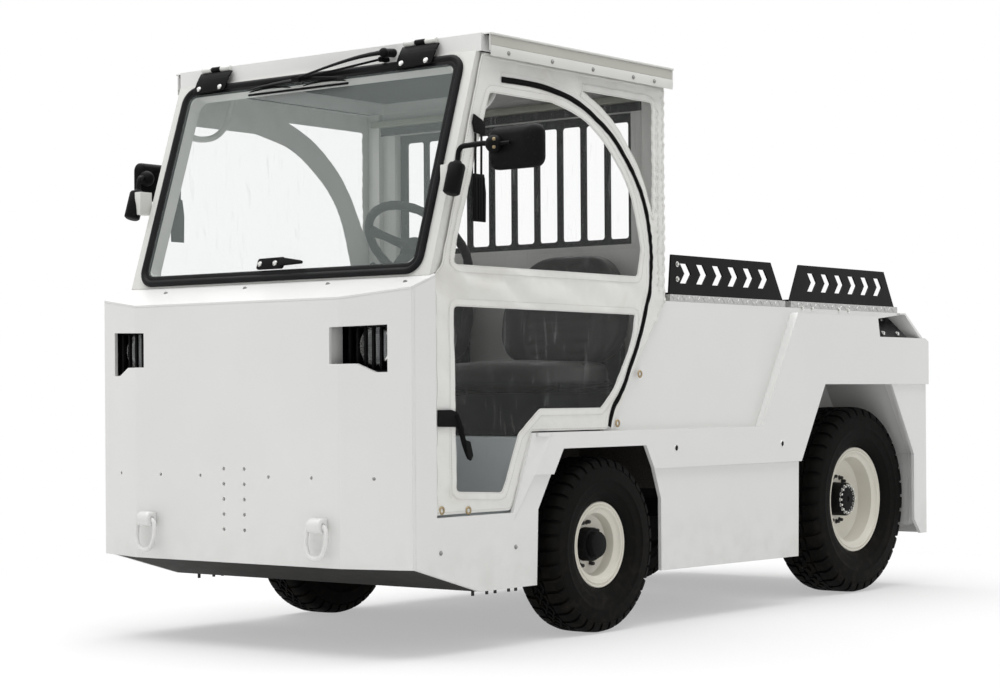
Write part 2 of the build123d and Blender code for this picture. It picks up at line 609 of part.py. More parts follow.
# Roof: shallow pan with a drip lip on each side
with BuildPart() as cab_roof:
    roof_half = CAB_HALF + 10
    add(block((-roof_half, roof_half), (ROOF_FRONT, ROOF_REAR), (ROOF_TOP - ROOF_DEPTH, ROOF_TOP)))
    add(block((26 - roof_half, roof_half - 26), (ROOF_FRONT + 20, ROOF_REAR - 20), (ROOF_TOP - ROOF_DEPTH - 10, ROOF_TOP - SHEET)),
        mode=Mode.SUBTRACT)
    for side in (-1, 1):
        add(block(sorted((side * (roof_half - 4), side * LIP_HALF)), (ROOF_FRONT + 10, ROOF_REAR - 36), (ROOF_TOP - 4, ROOF_TOP)))
        add(block(sorted((side * (LIP_HALF - 3), side * LIP_HALF)), (ROOF_FRONT + 10, ROOF_REAR - 36),
                  (ROOF_TOP - ROOF_DEPTH, ROOF_TOP)))
cab_roof.part.label = "cab_roof"
export_step(cab_roof.part, "parts/cab_roof.step")


# Rear wall of the cab: posts, lower panel and window frame
POST_DEEP = 50.0
with BuildPart() as cab_rear_wall:
    with BuildSketch(Plane(origin=(0, place(CAB_REAR), 0), x_dir=(1, 0, 0), z_dir=(0, -1, 0))):
        with Locations((0, (BAND_TOP - 16 + GAP + ROOF_TOP - ROOF_DEPTH - GAP) / 2)):
            Rectangle(2 * (WALL_HALF - PLATE - GAP), ROOF_TOP - ROOF_DEPTH - BAND_TOP + 16 - 2 * GAP)
        with BuildLine():
            Polyline(*REAR_WINDOW, close=True)
        make_face(mode=Mode.SUBTRACT)
    extrude(amount=30)
    for side in (-1, 1):
        add(block(sorted((side * (CAB_HALF - 50), side * CAB_HALF)), (CAB_REAR - POST_DEEP, CAB_REAR),
                  (DECK + GAP, ROOF_TOP - ROOF_DEPTH - GAP)))
cab_rear_wall.part.label = "cab_rear_wall"
export_step(cab_rear_wall.part, "parts/cab_rear_wall.step")


# Rear guard: a black plate with tall slots, standing behind the rear window
GUARD_PITCH = 96.0
GUARD_SLOT = 74.0
GUARD_Z = (up(1236.0), up(1612.0))
with BuildPart() as rear_guard:
    with BuildSketch(Plane(origin=(0, place(CAB_REAR + GAP + 8), 0), x_dir=(1, 0, 0), z_dir=(0, -1, 0))):
        with Locations((0, (GUARD_Z[0] + GUARD_Z[1]) / 2 - 10)):
            Rectangle(2 * (CAB_HALF - 31), GUARD_Z[1] - GUARD_Z[0] + 90)
        with Locations((0, (GUARD_Z[0] + GUARD_Z[1]) / 2)):
            with GridLocations(GUARD_PITCH, 1, 10, 1):
                RectangleRounded(GUARD_SLOT, GUARD_Z[1] - GUARD_Z[0], 10, mode=Mode.SUBTRACT)
    extrude(amount=8)
rear_guard.part.label = "rear_guard"
export_step(rear_guard.part, "parts/rear_guard.step")


# Soft side curtains: one hanging sheet each side, with cut-outs for three clear panes
CURTAIN_T = 3.4
CURTAIN_X = CAB_HALF + GAP
CURTAIN = (
    (DOOR_FRONT, SILL + 7), (SILL_END - 2, SILL + 7), (SILL_SLOPE_END + 4, BAND_TOP + 4), (1000, BAND_TOP + 4),
    (CAB_REAR - 4, 1025), (CAB_REAR - 4, ROOF_TOP - ROOF_DEPTH - 4), (ROOF_FRONT + 7, ROOF_TOP - ROOF_DEPTH - 4),
    (210, up(1105)), (DOOR_FRONT, 1060),
)
PANES = (
    ((262, up(1101)), (1183, up(1101)), (1195, up(1180)), (1175, up(1300)), (1125, up(1378)), (1057, up(1465)),
     (969, up(1531)), (892, up(1575)), (770, up(1602)), (436, up(1602)), (276, up(1172))),
    ((1263, up(1310)), (1263, up(1654)), (884, up(1655)), (1008, up(1598)), (1137, up(1494)), (1217, up(1384))),
    ((261, 983), (1155, 980), (1076, 798), (970, 691), (657, 691), (557, 621), (475, 450), (267, 460)),
)

with BuildPart() as curtain_left:
    extrude(side_outline(CURTAIN, CURTAIN_X), amount=CURTAIN_T)
    for pane in PANES:
        extrude(side_outline(pane, CURTAIN_X), amount=CURTAIN_T, mode=Mode.SUBTRACT)
curtain_left.part.label = "curtain_left"
export_step(curtain_left.part, "parts/curtain_left.step")

with BuildPart() as curtain_right:
    mirror(curtain_left.part, about=Plane.YZ)
curtain_right.part.label = "curtain_right"
export_step(curtain_right.part, "parts/curtain_right.step")

with BuildPart() as curtain_panes:
    for pane in PANES:
        with BuildSketch(Plane.YZ.offset(CURTAIN_X + 1)) as clear:
            with BuildLine():
                Polyline(*[(place(d), z) for d, z in pane], close=True)
            make_face()
            offset(amount=-0.3, kind=Kind.INTERSECTION, mode=Mode.REPLACE)
        extrude(clear.sketch, amount=2)
    mirror(about=Plane.YZ)
curtain_panes.part.label = "curtain_panes"
export_step(curtain_panes.part, "parts/curtain_panes.step")


# Mirrors: clamp sleeve on each front pillar, bent arm and head
MIRROR_X = CAB_HALF + 44     # middle of the clamp sleeve
MIRROR_D = 228.0
with BuildPart() as mirrors:
    for side in (-1, 1):
        x = side * MIRROR_X
        add(bar((x, MIRROR_D, up(1296)), (x, MIRROR_D, up(1392)), 24))
        add(bar((x, MIRROR_D, up(1390)), (x, MIRROR_D, up(1428)), 8))
        add(bar((x - side * 8, MIRROR_D, up(1424)), (x + side * 150, MIRROR_D + 12, up(1424)), 8))
        add(block(sorted((x + side * 72, x + side * 274)), (MIRROR_D + 8, MIRROR_D + 54), (up(1350), up(1486))))
        add(block(sorted((side * (CAB_HALF + 0.4), x - side * 10)), (MIRROR_D - 6, MIRROR_D + 34), (up(1310), up(1378))))
mirrors.part.label = "mirrors"
export_step(mirrors.part, "parts/mirrors.step")


# Deck: a hinged tread-plate lid over the power unit, and the fixed deck behind it
HINGE_Z = 1046.0
HINGE_X = WALL_HALF - 180
with BuildPart() as deck_lid:
    add(block((-WALL_HALF, WALL_HALF), LID, (DECK - DECK_LIP, DECK)))
    add(block((-WALL_HALF + 4, WALL_HALF - 4), (LID[0] + 4, LID[1] - 4), (DECK - DECK_LIP - 1, DECK - 4)),
        mode=Mode.SUBTRACT)
    for x in (-HINGE_X, HINGE_X):
        add(block((x - 24, x + 24), (LID[1] - 6, HINGE_D), (HINGE_Z - 6, HINGE_Z + 6)))
        add(bar((x - 24, HINGE_D, HINGE_Z), (x + 24, HINGE_D, HINGE_Z), 9))
        add(bar((x - 25, HINGE_D, HINGE_Z), (x + 25, HINGE_D, HINGE_Z), 5 + RUNNING), mode=Mode.SUBTRACT)
deck_lid.part.label = "deck_lid"
export_step(deck_lid.part, "parts/deck_lid.step")

with BuildPart() as rear_deck:
    add(block((-WALL_HALF, WALL_HALF), REAR_DECK, (DECK - DECK_LIP, DECK)))
    add(block((-WALL_HALF + 4, WALL_HALF - 4), (REAR_DECK[0] + 4, REAR_DECK[1] - 4), (DECK - DECK_LIP - 1, DECK - 4)),
        mode=Mode.SUBTRACT)
    for x in (-HINGE_X, HINGE_X):
        for side in (-1, 1):
            ear = (x + side * 26, x + side * 40)
            add(block(sorted(ear), (HINGE_D, REAR_DECK[0] + 6), (HINGE_Z - 8, HINGE_Z + 6)))
            add(bar((ear[0], HINGE_D, HINGE_Z), (ear[1], HINGE_D, HINGE_Z), 9))
        add(bar((x - 40, HINGE_D, HINGE_Z), (x + 40, HINGE_D, HINGE_Z), 5))
rear_deck.part.label = "rear_deck"
export_step(rear_deck.part, "parts/rear_deck.step")


# Load rails: black plates along both edges of the deck, cut with chevrons
RAIL_PLATE = 6.0
RAIL_EDGE_X = WALL_HALF - 8
RAIL_TOP = 1181.0
CHEVRON_PITCH = 96.0


def load_rail(outline, first, last):
    """A private pair of plates for both edges of the deck, their chevrons between the places first and last."""
    with BuildPart() as rail_pair:
        extrude(side_outline(outline, RAIL_EDGE_X - RAIL_PLATE), amount=RAIL_PLATE)
        for number in range(floor((last - first) / CHEVRON_PITCH + 0.5) + 1):
            left = first + CHEVRON_PITCH * number
            chevron = (
                (left - 18, 1090), (left + 22, 1090), (left + 48, 1122), (left + 22, 1154), (left - 18, 1154),
                (left + 8, 1122),
            )
            extrude(side_outline(chevron, RAIL_EDGE_X - RAIL_PLATE), amount=RAIL_PLATE, mode=Mode.SUBTRACT)
        low = outline[0][0] + 4
        high = outline[3][0] - 4
        foot = block((RAIL_EDGE_X - 40, RAIL_EDGE_X - RAIL_PLATE / 2), (low, high), (DECK + GAP, DECK + GAP + RAIL_PLATE))
        add(foot)
        mirror(about=Plane.YZ)
    return rail_pair.part


LID_RAIL = (
    (LID[0] + 6, DECK + GAP), (LID[0] + 20, RAIL_TOP), (LID[1] - 83, RAIL_TOP), (LID[1] - 4, DECK + GAP)
)
DECK_RAIL = (
    (REAR_DECK[0] + 4, DECK + GAP), (REAR_DECK[0] + 68, RAIL_TOP), (REAR_DECK[1] - 89, RAIL_TOP),
    (REAR_DECK[1] - 12, DECK + GAP)
)

with BuildPart() as lid_rails:
    add(load_rail(LID_RAIL, LID[0] + 88, LID[1] - 148))
lid_rails.part.label = "lid_rails"
export_step(lid_rails.part, "parts/lid_rails.step")

with BuildPart() as deck_rails:
    add(load_rail(DECK_RAIL, REAR_DECK[0] + 144, REAR_DECK[1] - 151))
deck_rails.part.label = "deck_rails"
export_step(deck_rails.part, "parts/deck_rails.step")


# Rear corners: dark bolted plates that close the sloped recesses, and the tail lamps
with BuildPart() as corner_plates:
    tall = 94.0
    with BuildSketch(Plane(origin=(0, place(NOTCH + 22), 0), x_dir=(1, 0, 0), z_dir=(0, -1, 0))) as section:
        with BuildLine():
            Polyline((BODY_HALF - 12, REAR_SHOULDER + GAP), (BODY_HALF - 6, REAR_SHOULDER + GAP),
                     (WALL_HALF - 60, REAR_SHOULDER + tall - 10), (WALL_HALF - 66, REAR_SHOULDER + tall - 10), close=True)
        make_face()
    extrude(section.sketch, amount=-215)
    mirror(about=Plane.YZ)
corner_plates.part.label = "corner_plates"
export_step(corner_plates.part, "parts/corner_plates.step")

with BuildPart() as tail_lamps:
    for side in (-1, 1):
        with BuildSketch(Plane(origin=(side * (BODY_HALF - 133), place(BODY_LONG + GAP), 850), x_dir=(1, 0, 0), z_dir=(0, 1, 0))):
            Circle(52)
        extrude(amount=26)
tail_lamps.part.label = "tail_lamps"
export_step(tail_lamps.part, "parts/tail_lamps.step")


# Tow hitch: a stepped pin hitch with three jaws on the rear plate
PIN_HOLE_R = 17.5
HITCH_END = BODY_LONG + HITCH_LONG
with BuildPart() as tow_hitch:
    add(block((-90, 90), (BODY_LONG + GAP, BODY_LONG + 20), (260, 560)))
    for z in (290.0, 370.0, 450.0, 530.0):
        add(block((-62, 62), (BODY_LONG + 18, HITCH_END), (z - 9, z + 9)))
        add(bar((0, HITCH_END - 45, z - 12), (0, HITCH_END - 45, z + 12), PIN_HOLE_R), mode=Mode.SUBTRACT)
tow_hitch.part.label = "tow_hitch"
export_step(tow_hitch.part, "parts/tow_hitch.step")


# Power unit: one plain mass between the rails under the lid
with BuildPart() as power_unit:
    add(block((-RAIL_X + GAP, RAIL_X - GAP), (OUTRIGGER_D[0] + 70, OUTRIGGER_D[1] - 60), (402, 900)))
power_unit.part.label = "power_unit"
export_step(power_unit.part, "parts/power_unit.step")


# Front axle beam with a forked end at each king pin
FORK_GAP = 52.0
FORK_T = 18.0
PIN_R = 15.0
with BuildPart() as front_axle:
    add(block((58 - KINGPIN_X, KINGPIN_X - 58), (FRONT_AXLE - 36, FRONT_AXLE + 36), (FRONT_AXLE_Z - 40, FRONT_AXLE_Z + 40)))
    for side in (-1, 1):
        for level in (-1, 1):
            low = FRONT_AXLE_Z + level * FORK_GAP
            high = FRONT_AXLE_Z + level * (FORK_GAP + FORK_T)
            add(block(sorted((side * (KINGPIN_X - 78), side * KINGPIN_X)), (FRONT_AXLE - 26, FRONT_AXLE + 26), sorted((low, high))))
            add(bar((side * KINGPIN_X, FRONT_AXLE, min(low, high)), (side * KINGPIN_X, FRONT_AXLE, max(low, high)), 26))
        add(block(sorted((side * (KINGPIN_X - 78), side * (KINGPIN_X - 52))), (FRONT_AXLE - 26, FRONT_AXLE + 26),
                  (FRONT_AXLE_Z - FORK_GAP - FORK_T, FRONT_AXLE_Z + FORK_GAP + FORK_T)))
        add(bar((side * KINGPIN_X, FRONT_AXLE, FRONT_AXLE_Z - 90), (side * KINGPIN_X, FRONT_AXLE, FRONT_AXLE_Z + 90),
                PIN_R + RUNNING), mode=Mode.SUBTRACT)
        add(block(sorted((side * (RAIL_X - 55), side * (RAIL_X - GAP))), (FRONT_AXLE - 60, FRONT_AXLE + 60),
                  (FRONT_AXLE_Z + 38, 400)))
front_axle.part.label = "front_axle"
export_step(front_axle.part, "parts/front_axle.step")

SPINDLE_R = 20.0
KNUCKLE_HALF = FORK_GAP - 1.0
with BuildPart() as knuckle_left:
    add(bar((KINGPIN_X, FRONT_AXLE, FRONT_AXLE_Z - KNUCKLE_HALF), (KINGPIN_X, FRONT_AXLE, FRONT_AXLE_Z + KNUCKLE_HALF), 26))
    add(bar((KINGPIN_X, FRONT_AXLE, FRONT_AXLE_Z - FORK_GAP - FORK_T - 6),
            (KINGPIN_X, FRONT_AXLE, FRONT_AXLE_Z + FORK_GAP + FORK_T + 6), PIN_R))
    add(bar((KINGPIN_X, FRONT_AXLE, FRONT_AXLE_Z), (KINGPIN_X + 50, FRONT_AXLE, FRONT_AXLE_Z), 30))
    add(bar((KINGPIN_X + 40, FRONT_AXLE, FRONT_AXLE_Z), (KINGPIN_X + 160, FRONT_AXLE, FRONT_AXLE_Z), SPINDLE_R))
knuckle_left.part.label = "knuckle_left"
export_step(knuckle_left.part, "parts/knuckle_left.step")

with BuildPart() as knuckle_right:
    mirror(knuckle_left.part, about=Plane.YZ)
knuckle_right.part.label = "knuckle_right"
export_step(knuckle_right.part, "parts/knuckle_right.step")


# Rear axle: turned tube with a differential housing and stub ends, on a saddle under each rail
STUB_END_R = 38.0
TUBE_R = 58.0
HOUSING_R = 150.0
with BuildPart() as rear_axle:
    with BuildSketch(Plane(origin=(0, place(REAR_AXLE), REAR_AXLE_Z), x_dir=(1, 0, 0), z_dir=(0, -1, 0))):
        with BuildLine():
            half_axle = ((REAR_WHEEL_X + 16, 0), (REAR_WHEEL_X + 16, STUB_END_R), (REAR_WHEEL_X - 74, STUB_END_R),
                         (REAR_WHEEL_X - 74, TUBE_R), (190, TUBE_R), (120, HOUSING_R - 20), (60, HOUSING_R))
            Polyline(*half_axle, *[(-x, r) for x, r in reversed(half_axle)], close=True)
        make_face()
    revolve(axis=Axis((0, place(REAR_AXLE), REAR_AXLE_Z), (1, 0, 0)))
    for side in (-1, 1):
        add(block(sorted((side * (RAIL_X - 8), side * (RAIL_X + RAIL_T + 8))), (REAR_AXLE - 48, REAR_AXLE + 48),
                  (REAR_AXLE_Z + 20, SADDLE_TOP - GAP)))
rear_axle.part.label = "rear_axle"
export_step(rear_axle.part, "parts/rear_axle.step")


# Wheels: revolved about their axles; (across, radius) sections with + outwards
def wheel_section(points, x, d, z):
    """A private revolved wheel body about a lateral axle line at (d, z), centred at x."""
    side = 1 if x > 0 else -1
    plane = Plane(origin=(x, place(d), z), x_dir=(side, 0, 0), z_dir=(0, -side, 0))
    with BuildPart() as turned:
        with BuildSketch(plane):
            with BuildLine():
                Polyline(*points, close=True)
            make_face()
        revolve(axis=Axis((x, place(d), z), (1, 0, 0)))
    return turned.part


FLANGE_T = 5.0
FLANGE_RISE = 14.0


def tyre_points(width, outer, flange, rim_width):
    """Section of a plain tyre: beads between the rim's flanges, round sidewalls and flat tread."""
    half = width / 2
    bead = rim_width / 2 - FLANGE_T - GAP
    right = (
        (half - 34, outer), (half - 22, outer - 4), (half - 6, outer - 26), (half, (outer + flange) / 2),
        (half - 6, flange + 14), (bead + 6, flange + 1), (bead, flange + 1), (bead, flange - FLANGE_RISE + GAP),
    )
    return tuple((-x, y) for x, y in reversed(right)) + right


def rim_points(width, flange, bore, hub_half, disc):
    """Section of a rim with flanges, a disc at disc and a bored hub."""
    half = width / 2
    seat = flange - FLANGE_RISE
    return (
        (-half, seat), (-half, flange), (-half + FLANGE_T, flange), (-half + FLANGE_T, seat), (half - FLANGE_T, seat),
        (half - FLANGE_T, flange),
        (half, flange), (half, seat - 6), (half - 14, seat - 10), (disc + 8, seat - 14), (disc + 8, bore + 30),
        (disc + 8 + hub_half, bore + 22), (disc + 8 + hub_half, bore), (disc - hub_half, bore), (disc - hub_half, bore + 26),
        (disc - 4, bore + 40), (disc - 4, seat - 18), (-half + 8, seat - 10),
    )


FRONT_WHEEL = (FRONT_WHEEL_X, FRONT_AXLE, FRONT_AXLE_Z, FRONT_TYRE_R, FRONT_TYRE_W, FRONT_RIM_R, 112, SPINDLE_R, 6, 34)
REAR_WHEEL = (REAR_WHEEL_X, REAR_AXLE, REAR_AXLE_Z, REAR_TYRE_R, REAR_TYRE_W, REAR_RIM_R, 136, STUB_END_R, -20, 44)
WHEELS = (
    # name, side, (x, d, z, tyre radius, tyre width, flange radius, rim width, bore radius, disc offset, half hub)
    ("front_left", 1, FRONT_WHEEL), ("front_right", -1, FRONT_WHEEL), ("rear_left", 1, REAR_WHEEL),
    ("rear_right", -1, REAR_WHEEL),
)
for name, sign, (x, d, z, tyre_r, tyre_w, flange_r, rim_w, bore_r, disc, hub_half) in WHEELS:
    with BuildPart() as tyre:
        add(wheel_section(tyre_points(tyre_w, tyre_r, flange_r, rim_w), sign * x, d, z))
    tyre.part.label = "tyre_" + name
    export_step(tyre.part, "parts/tyre_" + name + ".step")
    with BuildPart() as rim:
        add(wheel_section(rim_points(rim_w, flange_r, bore_r + RUNNING, hub_half, disc), sign * x, d, z))
    rim.part.label = "rim_" + name
    export_step(rim.part, "parts/rim_" + name + ".step")
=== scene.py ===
from math import cos, pi, radians, sin, tan

import bmesh
import bpy
from bpy.props import FloatProperty, FloatVectorProperty, IntProperty, PointerProperty
from mathutils import Matrix, Vector, noise
from mathutils.geometry import delaunay_2d_cdt


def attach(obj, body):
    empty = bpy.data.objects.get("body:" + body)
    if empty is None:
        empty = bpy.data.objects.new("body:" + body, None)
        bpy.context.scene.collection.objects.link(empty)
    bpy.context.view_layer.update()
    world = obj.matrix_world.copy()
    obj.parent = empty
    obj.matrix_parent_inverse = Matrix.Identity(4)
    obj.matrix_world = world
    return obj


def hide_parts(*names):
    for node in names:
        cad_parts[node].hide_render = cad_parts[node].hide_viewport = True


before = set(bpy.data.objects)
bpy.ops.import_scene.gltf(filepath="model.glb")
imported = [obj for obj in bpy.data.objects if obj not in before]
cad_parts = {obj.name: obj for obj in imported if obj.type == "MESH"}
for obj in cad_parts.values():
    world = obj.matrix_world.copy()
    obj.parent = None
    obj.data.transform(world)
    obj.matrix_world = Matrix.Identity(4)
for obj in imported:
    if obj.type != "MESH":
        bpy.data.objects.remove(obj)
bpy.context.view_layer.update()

bl_info = {
    "name": "Baggage tug",
    "version": (1, 0, 0),
    "blender": (4, 5, 0),
    "location": "View3D > Sidebar > Tug",
    "description": "Dresses the frame of an airport baggage tug with its paint, soft doors, glass and fittings",
    "category": "Object",
}

# Places follow the vehicle in millimetres: x to its left, d back from the flat front plate, z up.
MM = 0.001
FRONT = -1585.0
WALL_HALF = 600.0
CURTAIN_X = 606.6
DECK = 1052.0
LEAN = radians(18.2)
SCREEN_FOOT = (165.0, 1072.0)
SCREEN_HALF = 572.0
SCREEN_UP = 671.6
FRONT_WHEEL = (541.0, 981.0, 270.0)
REAR_WHEEL = (484.0, 2656.0, 340.0)
STEER_CENTRE = (305.0, 470.0, 1172.0)
STEER_TILT = radians(45)

LEFT, UP, AHEAD = Vector((1, 0, 0)), Vector((0, 0, 1)), Vector((0, -1, 0))


def at(x, d, z):
    """A place on the vehicle, in metres."""
    return Vector((x, FRONT + d, z)) * MM


def beside(side):
    """The function of places beside the vehicle's middle plane: d, z and how far out they are."""
    return lambda d, z, out: at(side * out, d, z)


def screen(x, up, out):
    """A place on the windscreen's plane: across, up its slope and out from it."""
    d, z = SCREEN_FOOT
    return at(x, d + up * sin(LEAN) - out * cos(LEAN), z + up * cos(LEAN) + out * sin(LEAN))


def steer(x, y, out):
    """A place on the steering wheel's plane, with out towards the driver."""
    cx, d, z = STEER_CENTRE
    c, s = cos(STEER_TILT), sin(STEER_TILT)
    return at(cx + x, d + y * s + out * c, z - y * c + out * s)


def ease(low, high, value):
    """0 below low, 1 above high and a smooth step between."""
    t = min(1.0, max(0.0, (value - low) / (high - low)))
    return t * t * (3 - 2 * t)


# Shader and geometry trees


class Wire:
    """One output of a node. A sum written on it adds its Math nodes."""

    def __init__(self, graph, socket):
        self.graph = graph
        self.socket = socket

    def out(self, name):
        return Wire(self.graph, self.socket.node.outputs[name])

    def math(self, operation, *others):
        return self.graph.math(operation, self, *others)

    def __add__(self, other):
        return self.math("ADD", other)

    def __sub__(self, other):
        return self.math("SUBTRACT", other)

    def __rsub__(self, other):
        return self.graph.math("SUBTRACT", other, self)

    def __mul__(self, other):
        return self.math("MULTIPLY", other)

    def __truediv__(self, other):
        return self.math("DIVIDE", other)

    __radd__ = __add__
    __rmul__ = __mul__

    def clamp(self):
        return self.graph.node("ShaderNodeClamp", (), {0: self})

    def step(self, low, high):
        """Runs smoothly from 0 at low to 1 at high."""
        return self.graph.node("ShaderNodeMapRange", {"interpolation_type": "SMOOTHSTEP"},
                               {"Value": self, "From Min": low, "From Max": high})


class Graph:
    """A node tree that is written by one method."""

    def __init__(self, tree):
        self.tree = tree
        tree.nodes.clear()

    def node(self, kind, settings=(), inputs=()):
        node = self.tree.nodes.new(kind)
        for name, value in dict(settings).items():
            setattr(node, name, value)
        for name, value in dict(inputs).items():
            if isinstance(value, Wire):
                self.tree.links.new(value.socket, node.inputs[name])
            else:
                node.inputs[name].default_value = value
        return Wire(self, node.outputs[0]) if node.outputs else node

    def math(self, operation, *values):
        return self.node("ShaderNodeMath", {"operation": operation}, dict(enumerate(values)))


class Finish(Graph):
    """The node tree of one material, read in object coordinates."""

    def __init__(self, name):
        self.material = bpy.data.materials.new(name)
        self.material.use_nodes = True
        super().__init__(self.material.node_tree)
        self.place = self.node("ShaderNodeTexCoord").out("Object")
        parts = self.node("ShaderNodeSeparateXYZ", (), {0: self.place})
        self.x, self.y, self.z = parts, parts.out("Y"), parts.out("Z")

    def noise(self, scale, detail=2.0, stretch=None, distortion=0.0):
        """Noise of a scale in cells per metre, stretched by a vector where one is given."""
        vector = self.place
        if stretch:
            vector = self.node("ShaderNodeMapping", (), {0: vector, "Scale": stretch})
        return self.node("ShaderNodeTexNoise", (),
                         {"Vector": vector, "Scale": scale, "Detail": detail, "Distortion": distortion})

    def mix(self, factor, a, b):
        """A colour between a and b."""
        node = self.node("ShaderNodeMix", {"data_type": "RGBA"}, {0: factor, 6: a, 7: b})
        return Wire(self, node.socket.node.outputs[2])

    def bump(self, height, distance, strength=1.0, round_edges=0.0):
        """A normal from a height map, on edges rounded by a radius where one is given."""
        inputs = {"Height": height, "Distance": distance, "Strength": strength}
        if round_edges:
            inputs["Normal"] = self.node("ShaderNodeBevel", {"samples": 4}, {"Radius": round_edges})
        return self.node("ShaderNodeBump", (), inputs)

    def surface(self, **sockets):
        """Closes the tree with one Principled surface and returns the material."""
        inputs = {name.replace("_", " "): value for name, value in sockets.items()}
        shader = self.node("ShaderNodeBsdfPrincipled", (), inputs)
        self.node("ShaderNodeOutputMaterial", (), {"Surface": shader})
        return self.material


def tone(colour, scale=1.0):
    return (colour[0] * scale, colour[1] * scale, colour[2] * scale, 1.0)


def paint(name, colour, dark, roughness, grain=700.0, edges=0.0018, coat=0.15):
    """Powder coat: faint mottling, orange peel and softened edges. The mottling is a colour or a share."""
    f = Finish(name)
    black = max(colour[:3]) < 0.03
    mottle = f.noise(2.6, 5.0).step(0.35, 0.7)
    fine = f.noise(grain, 2.0)
    return f.surface(
        Base_Color=f.mix(mottle, tone(colour, dark) if isinstance(dark, float) else tone(dark), tone(colour)),
        Roughness=roughness - 0.06 + 0.12 * f.noise(30.0, 3.0),
        Normal=f.bump(fine, 0.0004, 0.25, edges),
        Coat_Weight=0.0 if black else coat,
        Coat_Roughness=0.25,
        Specular_IOR_Level=0.08 if black else 0.5,
    )


def body_paint(name, colour, shade):
    """White body paint, with a little road film low on the panels."""
    f = Finish(name)
    mottle = f.noise(2.2, 5.0).step(0.3, 0.75)
    film = (1 - f.z.step(0.16, 0.42)) * f.noise(14.0, 5.0).step(0.35, 0.75)
    clean = f.mix(mottle, tone(colour, shade), tone(colour))
    return f.surface(
        Base_Color=f.mix(film * 0.16, clean, (0.42, 0.39, 0.34, 1.0)),
        Roughness=0.36 + 0.12 * f.noise(22.0, 4.0) + 0.12 * film,
        Normal=f.bump(f.noise(620.0, 2.0), 0.0004, 0.22, 0.0022),
        Coat_Weight=0.2,
        Coat_Roughness=0.22,
    )


def well_paint(name, white):
    """Wheel liners: black underseal in front, shaded white paint behind."""
    f = Finish(name)
    rear = f.y.step(0.30, 0.34)
    grit = f.noise(240.0, 4.0)
    seal = f.mix(grit.step(0.3, 0.7), (0.034, 0.031, 0.026, 1.0), (0.070, 0.064, 0.054, 1.0))
    return f.surface(
        Base_Color=f.mix(rear, seal, tone(white, 0.8)),
        Roughness=0.86 - 0.35 * rear,
        Normal=f.bump(grit, 0.0012, 0.5),
    )


def roof_paint(name, white):
    """The roof pan: body paint on its upper faces; faces turned downwards are painted near black as painted shade
    under the roof.
    """
    f = Finish(name)
    up = f.node("ShaderNodeSeparateXYZ", (), {0: f.node("ShaderNodeNewGeometry").out("Normal")}).out("Z")
    # Painted shade: faces turned downwards get a near-black colour.
    under = up.step(-0.5, -0.7)
    return f.surface(
        Base_Color=f.mix(under, tone(white), (0.012, 0.012, 0.011, 1.0)),
        Roughness=0.42 + 0.4 * under,
        Normal=f.bump(f.noise(600.0, 2.0), 0.0005, 0.25, 0.0018),
    )


def tread_plate(name):
    """Worn aluminium plate."""
    f = Finish(name)
    scuff = f.noise(90.0, 6.0, (1.0, 6.0, 1.0)).step(0.4, 0.7)
    return f.surface(
        Base_Color=f.mix(scuff, (0.42, 0.42, 0.41, 1.0), (0.66, 0.66, 0.65, 1.0)),
        Metallic=0.85,
        Roughness=0.5 - 0.2 * scuff,
        Normal=f.bump(scuff, 0.0004, 0.3, 0.001),
    )


GLASS_IOR = 1.45
REAR_GLASS_Y = -0.4
REAR_CLEARER = 0.85


def clear(name, colour, veil, glow, roughness, ripple, rear_clear=False):
    """A see-through sheet: a thin veil of its own colour and a gloss that grows at a slant."""
    f = Finish(name)
    behind = f.node("ShaderNodeNewGeometry").out("Backfacing")
    slant = f.node("ShaderNodeFresnel", (), {"IOR": GLASS_IOR + behind * (1 / GLASS_IOR - GLASS_IOR)})
    inputs = {"Base Color": tone(colour), "Roughness": roughness}
    smear = 0.0
    if ripple:
        smear = f.noise(13.0, 6.0, (1.0, 2.6, 0.4), 1.8).step(0.55, 0.8) * 0.11
        inputs["Normal"] = f.bump(f.noise(11.0, 2.0, (1.0, 1.2, 0.45), 0.8), 0.02, ripple)
    cover = slant * glow + veil
    if rear_clear:
        cover = cover * (1 - REAR_CLEARER * f.y.step(REAR_GLASS_Y - 0.1, REAR_GLASS_Y))
    alpha = (cover + smear).clamp()
    shader = f.node("ShaderNodeBsdfPrincipled", (), dict(inputs, Alpha=alpha))
    f.node("ShaderNodeOutputMaterial", (), {"Surface": shader})
    return f.material


def coated_cloth(name, colour):
    """White coated door fabric: fine weave, soft creases and slightly yellowed patches."""
    f = Finish(name)
    crease = f.noise(7.5, 5.0, (1.0, 1.0, 1.4), 0.9)
    soil = f.noise(3.2, 6.0, None, 1.0).step(0.52, 0.78)
    weave = f.node("ShaderNodeTexWave", {"bands_direction": "Z"}, {"Vector": f.place, "Scale": 240.0}) \
        * f.node("ShaderNodeTexWave", {"bands_direction": "Y"}, {"Vector": f.place, "Scale": 240.0})
    return f.surface(
        Base_Color=f.mix(soil * 0.55, tone(colour), tone((0.70, 0.68, 0.60))),
        Roughness=0.40 + 0.16 * crease,
        Normal=f.bump(weave * 0.05 + crease, 0.010, 0.55),
        Sheen_Weight=0.1,
    )


def rubber(name, colour, roughness):
    """Moulded rubber of seals."""
    f = Finish(name)
    grain = f.noise(500.0, 3.0)
    return f.surface(
        Base_Color=f.mix(f.noise(12.0, 4.0).step(0.3, 0.7), tone(colour, 0.75), tone(colour, 1.2)),
        Roughness=roughness + 0.1 * grain,
        Normal=f.bump(grain, 0.0008, 0.4),
        Specular_IOR_Level=0.12,
    )


